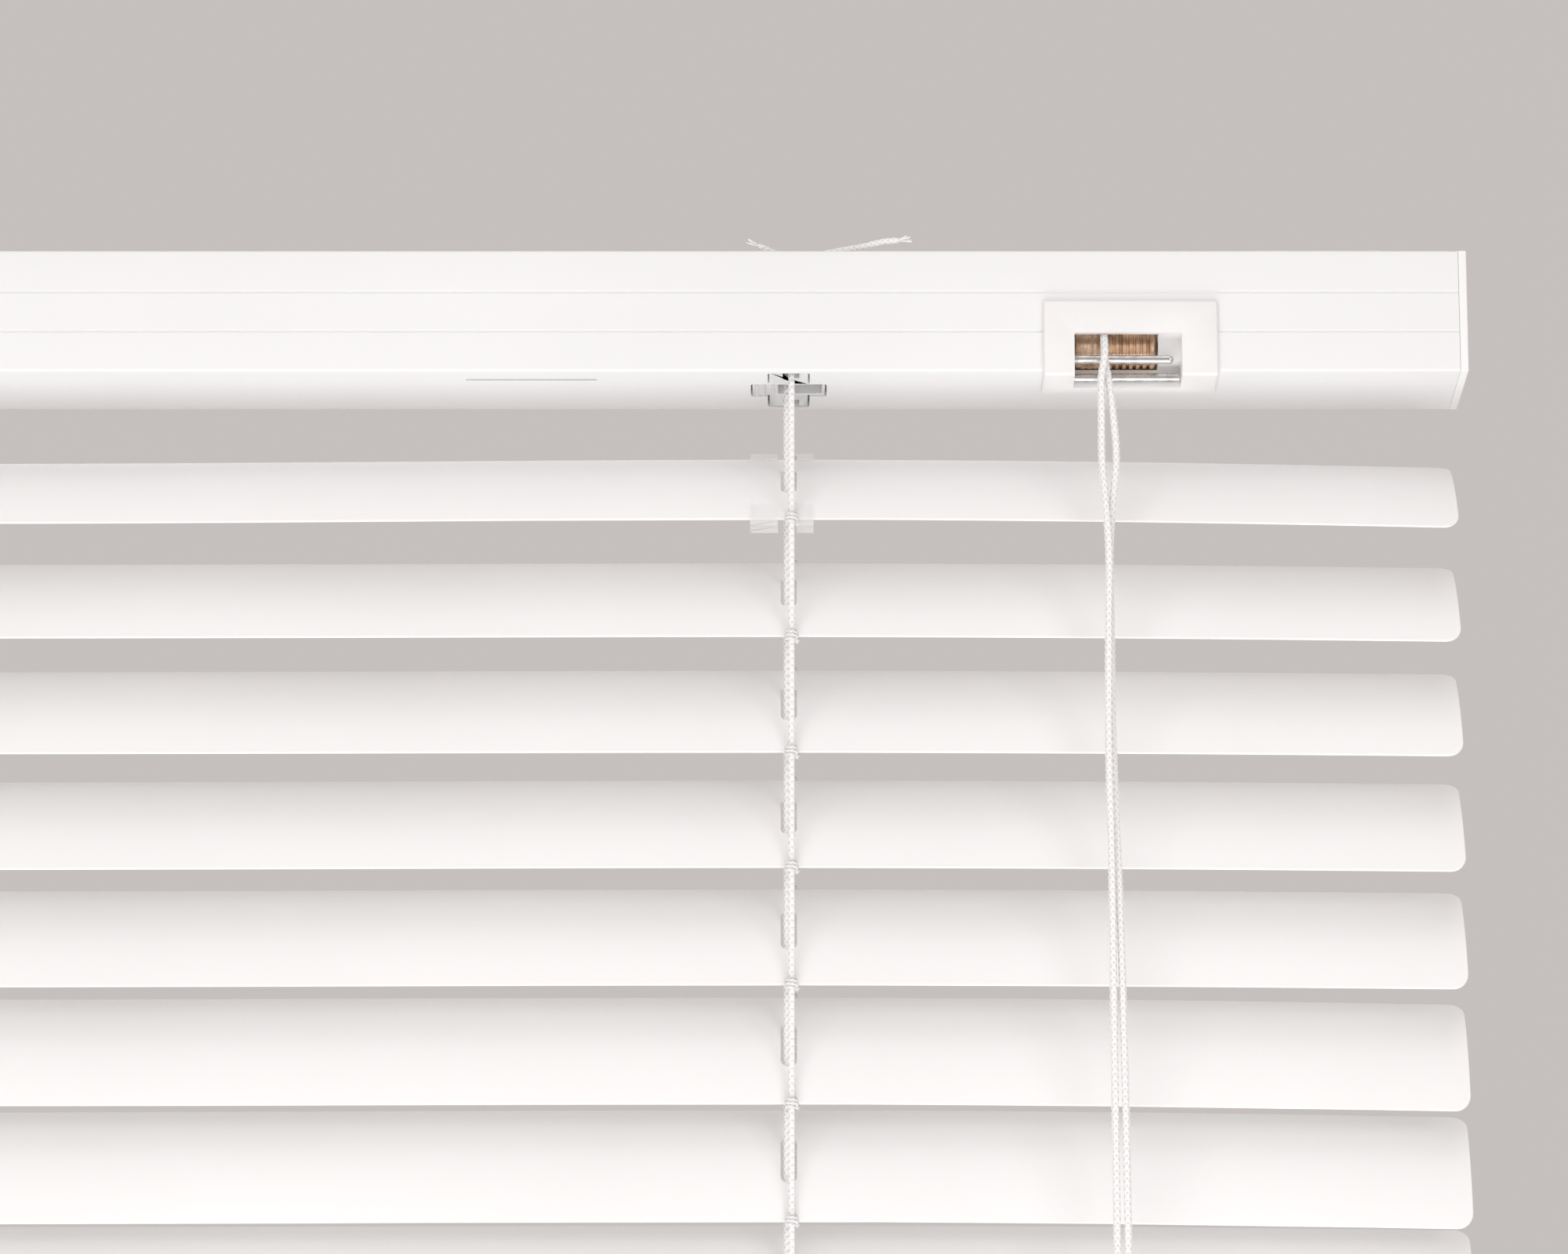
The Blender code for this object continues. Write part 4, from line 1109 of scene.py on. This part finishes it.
@dataclass
class Ladders:
    """Both string ladders: front and rear strings, rungs, knots and the top slat's clips."""

    slats: Slats
    string_radius: float = 0.7
    rung_radius: float = 0.48
    string_shift: float = 0.5
    rung_shift: float = 1.6
    exit_y: float = 8.7
    end_z: float = -386.6

    def top_piece(self, word: str, side: int, face: int, where: str) -> Strand:
        """The string from its drum, out through the cradle, to the top slat's edge."""
        x = side * self.slats.ladder_x + self.string_shift
        return Strand(f"string_top_{where}_{word}", [
            (x, face * 6.3, -13.2), (x, face * 6.9, -15.6), (x, face * 8.4, -19.4),
            (x, face * self.exit_y, -22.5), (x, face * self.exit_y, -26.5),
            self.slats.edge(0, x, face) + Vector((0, 0, -0.4))], self.string_radius, step=0.35)

    def main_piece(self, word: str, side: int, face: int, where: str) -> Strand:
        """The string past every slat's edge."""
        x = side * self.slats.ladder_x + self.string_shift
        points = [self.slats.edge(index, x, face) for index in range(self.slats.count)]
        return Strand(f"string_{where}_{word}", points, self.string_radius, step=0.35)

    def tail_piece(self, word: str, side: int, face: int, where: str) -> Strand:
        """The string from the lowest slat's edge round into the bottom rail's top."""
        x = side * self.slats.ladder_x + self.string_shift
        last = self.slats.edge(self.slats.count - 1, x, face)
        inward = Vector((last.x, last.y, self.end_z))
        return Strand(f"string_tail_{where}_{word}", [
            last + Vector((0, 0, 0.6)), (last + inward) / 2, inward], self.string_radius, step=0.4)

    def rung(self, name: str, index: int, side: int) -> Strand:
        """A rung from string to string, just under its slat."""
        x = side * self.slats.ladder_x
        front, rear = (self.slats.edge(index, x + self.string_shift, face) for face in (-1, 1))
        sag = ((-12.6, -3.0), (-10.5, -3.1), (0, -3.2), (10.5, -3.1), (12.6, -3.0))
        under = [self.slats.at(index, x + self.rung_shift, across, up) for across, up in sag]
        return Strand(name, [front, *under, rear], self.rung_radius, Lay.TWISTED, 0.8, 8, 1.8)

    def knot(self) -> bpy.types.Object:
        """A small knot round the origin, for the string to pass through."""
        points = []
        for step in range(27):
            angle = math.radians(step * 40)
            swell = 0.86 + 0.16 * math.sin(step / 26 * math.pi)
            points.append((swell * math.cos(angle), swell * math.sin(angle), 0.95 - step * 0.073))
        return Strand("knot_pattern", points, 0.36, Lay.TWISTED, 0.5, 7, 1.4, True).build()

    def clip(self, name: str, side: int) -> bpy.types.Object:
        """The clear clip that holds the top slat: a plate under it, hooked round both edges."""
        bow, x = self.slats.bow, side * self.slats.ladder_x
        left, middle, right = x - 7.3, x - 1.9, x + 4.7
        front, rear = -14.9, 14.4
        clip = bench.block(name, (left, front, -1.6), (right, rear, -0.8))
        tools = []
        for a, b in ((left, left + 5.2), (x + 0.4 + 1.0, right)):
            tools.append(bench.block("tab", (a, front, 0.32), (b, -8.9, 1.0)))
            tools.append(bench.block("hook", (a, front, -1.2), (b, -13.5, 0.6)))
            tools.append(bench.block("tab", (a, 11.2, 0.32), (b, rear, 1.0)))
            tools.append(bench.block("hook", (a, 13.4, -1.2), (b, rear, 0.6)))
        bench.shape(clip, Join.ADD, tools)
        slot = bench.block("slot", (middle - 0.1, -15.5, -2.5), (x + 1.5, 15.5, 1.6))
        bench.shape(clip, Join.CUT, [slot])
        bench.shape(clip, Join.ADD, [bench.block("bar", (left, -10.5, -1.6), (right, -8, -0.8)),
                                     bench.block("bar", (left, 8, -1.6), (right, 10.5, -0.8))])
        bench.soften(clip, 0.16, 2)
        bench.pick(clip, Element.FACE, lambda place, normal: True)
        for level in range(-13, 14, 2):
            bpy.ops.mesh.select_all(action="SELECT")
            bpy.ops.mesh.bisect(plane_co=(0, level * MM, 0), plane_no=(0, 1, 0))
        bench.clear()
        for vertex in clip.data.vertices:
            angle, out = vertex.co.y / MM / bow, bow + vertex.co.z / MM
            vertex.co.y = out * math.sin(angle) * MM
            vertex.co.z = (out * math.cos(angle) - bow) * MM
        clip.data.transform(self.slats.place(0))
        return clip

    def frayed(self) -> list[Strand]:
        """The string ends that stand up through the headrail's mouth, with loose fibres."""
        draw = random.Random(3)
        x = self.slats.ladder_x
        ends = [
            ("long", [(x + 1, -2.5, -5.5), (x + 4, -6.5, -1.4), (x + 9.5, -9.2, -0.55),
                      (x + 14, -10.4, -0.1), (x + 18.5, -11.0, 0.8), (x + 21.2, -11.2, 0.95)]),
            ("short", [(x - 0.5, -3, -5.5), (x - 1.5, -7.2, -1.2), (x - 3.6, -9.4, -0.6),
                       (x - 6.0, -10.8, 0.0)]),
        ]
        made = []
        for name, points in ends:
            made.append(
                Strand(f"string_end_{name}", points, 0.62, Lay.TWISTED, 0.35, 10, 2.2, True))
            tip = Vector(points[-1])
            way = (tip - Vector(points[-2])).normalized()
            for number in range(6):
                stray = Vector([draw.uniform(-0.7, 0.7) for _ in range(3)])
                reach = draw.uniform(1.2, 2.4)
                made.append(Strand(f"fibre_{name}_{number + 1}", [
                    tip - way * 1.0, tip + stray * 0.25, tip + way * reach + stray],
                    0.14, Lay.PLAIN, 0.4, 5, 2, True))
        return made

    def build(self) -> int:
        """Makes and dresses every string, rung, knot and clip.

        Returns:
            How many pieces were made.
        """
        made = 0
        for word, side in (("right", 1), ("left", -1)):
            for where, face in (("front", -1), ("rear", 1)):
                x = side * self.slats.ladder_x + self.string_shift
                first = self.slats.edge(0, x, face)
                last = self.slats.edge(self.slats.count - 1, x, face)
                top = dress(self.top_piece(word, side, face, where).build(), STRING, angle=80)
                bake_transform(top)
                main = dress(self.main_piece(word, side, face, where).build(), STRING,
                             f"ladder_{where}", [f"ladder_{where}_{word}"], 80)
                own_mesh(main)
                tail = dress(self.tail_piece(word, side, face, where).build(), STRING, angle=80)
                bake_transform(tail)
                made += 3
        knot = self.knot()
        for index in range(self.slats.count):
            number = f"{index + 1:02d}"
            for word, side in (("right", 1), ("left", -1)):
                stands = [f"rung_{number}"] if side > 0 and 0 < index < self.slats.count - 1 else []
                rung = self.rung(f"rung_cord_{word}_{number}", index, side)
                dress(rung.build(), STRING, f"slat_{number}", stands, 80)
                for where, face in (("front", -1), ("rear", 1)):
                    if face > 0 and index == self.slats.count - 1:
                        continue  # the bottom rail comes too close when the slats tip back
                    x = side * self.slats.ladder_x + self.string_shift
                    spot = Matrix.Translation(self.slats.edge(index, x, face) * MM)
                    tied = bench.copy(knot, f"knot_{where}_{word}_{number}", spot)
                    dress(tied, STRING, f"slat_{number}", angle=80)
                    made += 1
                made += 1
        bench.discard(knot)
        for word, side in (("right", 1), ("left", -1)):
            dress(self.clip(f"slat_clip_{word}", side), CLIP_CLEAR, "slat_01")
        for strand in self.frayed():
            finish = STRING if strand.lay is Lay.TWISTED else FIBRE
            dress(strand.build(), finish, "root", angle=80)
            made += 1
        return made + 2


@dataclass
class Cords:
    """The two lift cords, the two pull cords and the tassel."""

    radius: float = 0.8
    ladder_x: float = 171.0
    shift: float = -0.3
    inside_base: float = -390.8
    under_rail: float = -25.5
    pull_x: float = 230.9
    apart: float = 0.95
    exit: tuple[float, float, float] = (230.9, -11.0, -18.2)
    travel: float = 247.5

    def drop_piece(self, word: str, side: int) -> Strand:
        """The lift cord from the bottom rail up through the slats."""
        x = side * self.ladder_x + self.shift
        heights = (self.inside_base, -300, -200, -100, self.under_rail)
        return Strand(f"lift_cord_drop_{word}", [(x, 0, z) for z in heights],
                      self.radius, step=0.45, sides=12)

    def run_piece(self, word: str, side: int) -> Strand:
        """The lift cord from the cradle, behind the shaft, along to the lock."""
        x = side * self.ladder_x + self.shift
        level = -9.5 if side > 0 else -6.0
        lock_x = self.pull_x - side * self.apart
        return Strand(f"lift_cord_run_{word}", [
            (x, 0, self.under_rail + 0.1), (x, 0, -24.3), (x + 0.1, 0.5, -22.4),
            (x + 0.8, 2.6, -21.4), (x + 2.4, 5.5, -21), (x + 4.6, 8, -19), (x + 7, 9, -15),
            (x + 11, 9.2, (level - 15) / 2), (x + 17, 9.2, level), (216, 9.2, level),
            (lock_x - 5.5, 6, -9.4 + (level + 9.5) / 2), (lock_x - 1.2, 1, -9.4),
            (lock_x, -1.6, -10.4), (lock_x, -3, -12)], self.radius, step=0.9, sides=10)

    def pull_points(self, number: int) -> list[Point]:
        """The pull cord's route: over the roller, out past the pin and down to the tassel."""
        over = (((-0.95, -3.7, -13.1), (-0.95, -5.2, -13.7), (-0.95, -7.4, -13.9),
                 (-0.85, -9.4, -14.5), (-0.50, -10.7, -15.8), (-0.15, -11.35, -17.2),
                 (0.00, -11.55, -18.1), (0.00, -12.1, -19.0), (0.00, -13.2, -19.95),
                 (0.00, -14.3, -21.4), (-0.05, -14.85, -22.8), (-0.35, -15.1, -25.0)),
                ((0.95, -3.7, -13.1), (0.95, -5.2, -13.9), (0.95, -7.4, -14.3),
                 (0.55, -8.8, -15.6), (0.20, -9.5, -17.2), (0.00, -9.8, -18.6),
                 (0.00, -10.4, -19.9), (0.00, -11.9, -21.0), (0.00, -13.05, -22.6),
                 (0.20, -13.3, -24.6)))
        left = ((-0.70, -15.2, -27.1), (-0.80, -15.1, -35.0), (-0.80, -15.2, -43.9),
                (-0.30, -15.9, -52.0), (0.20, -16.2, -60.0), (0.05, -16.4, -76.0),
                (-0.20, -16.6, -99.0), (0.10, -16.7, -123.0), (0.15, -16.8, -146.0),
                (0.20, -16.9, -170.0), (0.35, -17.4, -210.0), (0.45, -18.0, -260.0),
                (0.50, -18.5, -310.0), (0.50, -18.6, -325.7))
        right = ((0.60, -13.6, -27.1), (1.50, -13.8, -35.0), (1.95, -14.0, -43.9),
                 (1.20, -14.3, -52.0), (0.60, -14.3, -60.0), (0.60, -14.5, -76.0),
                 (0.70, -14.7, -99.0), (1.40, -15.2, -123.0), (1.90, -15.9, -146.0),
                 (2.20, -16.8, -170.0), (2.40, -17.4, -210.0), (2.45, -18.0, -260.0),
                 (2.50, -18.5, -310.0), (2.50, -18.6, -325.7))
        route = over[number - 1] + (left, right)[number - 1]
        return [(self.pull_x + x, y, z) for x, y, z in route]

    def tassel(self) -> bpy.types.Object:
        """A bell-shaped tassel with a collar, a mouth for the cords and a rolled rim."""
        outline = [(0, -3.0), (1.9, -3.0), (2.1, -0.4), (2.35, 0), (2.8, -0.15), (2.95, -0.7),
                   (2.95, -2.0), (2.65, -2.4), (2.65, -2.9), (3.0, -3.3), (3.15, -6.0), (3.4, -9.0),
                   (3.9, -13.0), (4.5, -17.5), (5.0, -22.0), (5.15, -24.0), (4.9, -24.4),
                   (4.9, -25.0), (5.2, -25.5), (5.2, -28.2), (4.9, -29.8), (4.3, -31.0),
                   (3.3, -31.7), (2.2, -32.0), (2.0, -31.7), (2.0, -28.5), (0, -28.0)]
        return bench.turn("pull_tassel", outline, (232.4, -18.6, -326), steps=48)

    def build(self) -> int:
        """Returns:
            How many pieces were made.
        """
        tassel = dress(self.tassel(), MOULDED_WHITE, "tassel", ["tassel"])
        for word, side in (("right", 1), ("left", -1)):
            drop = dress(self.drop_piece(word, side).build(), CORD, "root",
                         [f"lift_cord_{word}"], 80)
            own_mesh(drop)
            dress(self.run_piece(word, side).build(), CORD, "root", angle=80)
        for number in (1, 2):
            strand = Strand(f"pull_line_{number}", self.pull_points(number), self.radius, step=0.35)
            cord = dress(strand.build(), CORD, stands_for=[f"pull_cord_{number}"], angle=80)
            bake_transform(cord)
        return 7


@dataclass
class BottomRail:
    """The hollow bottom rail, its two caps and the plugs under its cord holes."""

    top: float = -386.8
    height: float = 10.0
    half: float = 12.0
    corner: float = 3.0
    end: float = 296.4
    cap_end: float = 298.0
    wall: float = 1.2
    ladder_x: float = 171.0

    def tube(self) -> bpy.types.Object:
        """The hollow rail with round long edges, and its cord, string and plug holes."""
        rail = bench.block("base_tube", (-self.end, -self.half, self.top - self.height),
                           (self.end, self.half, self.top))
        bench.pick(rail, Element.FACE, lambda place, normal: abs(normal.x) > 0.9)
        bpy.ops.mesh.delete(type="FACE")
        bench.round_edges(rail, self.corner, 6, lambda place, way: abs(way.x) > 0.9)
        bench.modify(rail, "SOLIDIFY", thickness=self.wall * MM, offset=-1, use_even_offset=True)
        tools = []
        for side in (-1, 1):
            x = side * self.ladder_x
            tools.append(bench.rod("cord_hole", (x - 0.3, 0, self.top - 3),
                                   (x - 0.3, 0, self.top + 1), 1.3))
            for face in (-1, 1):
                y = face * 3.98
                tools.append(bench.rod("string_hole", (x + 0.5, y, self.top - 3),
                                       (x + 0.5, y, self.top + 1), 1.0, 20))
            tools.append(bench.rod("plug_hole", (x, 0, self.top - self.height - 1),
                                   (x, 0, self.top - self.height + 2), 4.4, 40))
        bench.shape(rail, Join.CUT, tools)
        return bench.soften(rail, 0.15, 2, 60)

    def cap(self, word: str, side: int) -> bpy.types.Object:
        """A moulded end cap with a shallow panel and a plug."""
        near, far = sorted((side * (self.end + 0.05), side * self.cap_end))
        low = self.top - self.height
        cap = bench.block(f"base_cap_{word}", (near, -self.half, low), (far, self.half, self.top))
        bench.round_edges(cap, self.corner, 6, lambda place, way: abs(way.x) > 0.9)
        bench.pick(cap, Element.FACE, lambda place, normal: normal.x * side > 0.9)
        bpy.ops.mesh.inset(thickness=1.3 * MM)
        bpy.ops.mesh.inset(thickness=0.3 * MM, depth=-0.3 * MM)
        bench.pick(cap, Element.FACE, lambda place, normal: normal.x * side < -0.9)
        bpy.ops.mesh.inset(thickness=1.45 * MM)
        bpy.ops.mesh.extrude_region_move(TRANSFORM_OT_translate={"value": (-side * 7.5 * MM, 0, 0)})
        bench.clear()
        return bench.soften(cap, 0.2, 2)

    def plug(self, word: str, side: int) -> bpy.types.Object:
        """A round plug under a cord hole, with a dished face."""
        outline = [(0, 2.4), (3.6, 2.4), (4.2, 1.9), (4.3, 0.1), (5.2, 0.05), (5.4, -0.25),
                   (5.1, -0.7), (4.2, -0.85), (3.4, -0.6), (1.2, -0.45), (0.9, 0.5), (0, 0.6)]
        return bench.turn(f"base_plug_{word}", outline,
                          (side * self.ladder_x, 0, self.top - self.height), steps=40)

    def build(self) -> int:
        """Makes and dresses every piece; gives how many were made."""
        dress(self.tube(), BASE_WHITE, "bottom_rail", ["bottom_rail"], 30)
        for word, side in (("right", 1), ("left", -1)):
            dress(self.cap(word, side), BASE_CAP_WHITE, "bottom_rail", [f"bottom_cap_{word}"])
            dress(self.plug(word, side), BASE_CAP_WHITE, "bottom_rail")
        return 5


@dataclass
class Studio:
    """The camera, the lights, the pale floor and the air round the blind."""

    camera_place: Point = (0.1701, -1.300, -0.4307)
    camera_rise: float = 13.89
    lens: float = 163.1
    shift_y: float = 0.12
    floor_z: float = -0.75

    def camera(self) -> None:
        """The camera, low in front of the lock and looking up a little."""
        data = bpy.data.cameras.new("camera")
        data.lens, data.sensor_width, data.shift_y = self.lens, 36, self.shift_y
        data.clip_start, data.clip_end = 0.05, 60
        camera = bpy.data.objects.new("camera", data)
        camera.location = self.camera_place
        camera.rotation_euler = (math.radians(90 + self.camera_rise), 0, 0)
        bpy.context.scene.collection.objects.link(camera)
        bpy.context.scene.camera = camera

    def lamp(self, name: str, place: Point, target: Point, size: float, power: float,
             colour: Colour = (1, 1, 1)) -> None:
        """A square soft light that faces a point.

        Args:
            name: The light's name.
            place: Where it stands, in metres.
            target: What it faces, in metres.
            size: Its side.
            power: In watts.
            colour: Its tint.
        """
        data = bpy.data.lights.new(name, "AREA")
        data.shape, data.size, data.energy, data.color = "SQUARE", size, power, colour
        light = bpy.data.objects.new(name, data)
        light.location = place
        light.rotation_euler = (Vector(target) - Vector(place)).to_track_quat("-Z", "Y").to_euler()
        light.visible_camera = False
        bpy.context.scene.collection.objects.link(light)

    def floor(self) -> None:
        """A plain pale floor far below the blind."""
        bench.clear()
        bpy.ops.mesh.primitive_grid_add(x_subdivisions=8, y_subdivisions=8, size=12,
                                        location=(0, 0, self.floor_z))
        floor = bench.taken("floor")
        graph = Graph("floor_paint")
        cloud = graph.noise(graph.place((1, 1, 1)), 1.5, 3)
        colour = graph.blend(cloud, (0.73, 0.715, 0.705), (0.76, 0.745, 0.735))
        floor.data.materials.append(graph.finish(Base_Color=colour, Roughness=0.7))

    def air(self) -> None:
        """An even pale surround."""
        world = bpy.data.worlds.new("surround")
        world.use_nodes = True
        back = world.node_tree.nodes["Background"]
        back.inputs["Color"].default_value = (0.56, 0.525, 0.515, 1)
        back.inputs["Strength"].default_value = 1.0
        bpy.context.scene.world = world
        bpy.context.scene.view_settings.view_transform = "Standard"

    def lights(self) -> None:
        """A broad front light, a top light, a low fill and a soft light behind."""
        middle = (0.15, 0, -0.15)
        self.lamp("front", (-0.9, -2.2, 0.75), middle, 1.6, 10.2)
        self.lamp("fill", (1.6, -2.1, 0.15), middle, 1.0, 7.6, (0.98, 0.99, 1))
        self.lamp("low", (0.15, -0.55, -0.72), (0.15, -0.55, 1), 1.0, 5.7, (0.98, 0.99, 1))
        self.lamp("above", (0.1, -0.8, 1.5), middle, 1.4, 6.5)
        self.lamp("behind", (-0.4, 2.2, 0.7), middle, 1.6, 14)

    def build(self) -> int:
        """Sets the scene; gives how many stage pieces were made."""
        self.camera()
        self.lights()
        self.floor()
        self.air()
        return 1


def main() -> None:
    """Builds every sub-assembly in order."""
    logging.basicConfig(level=logging.INFO, format="%(message)s")
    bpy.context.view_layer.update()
    slats = Slats()
    for assembly in (Studio(), Cords(), Headrail(), CordLock(), Tilter(), TiltShaft(), Cradles(),
                     slats, Ladders(slats), BottomRail()):
        log.info("%s: %d pieces", type(assembly).__name__, assembly.build())
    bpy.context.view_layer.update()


if __name__ == "__main__":
    main()
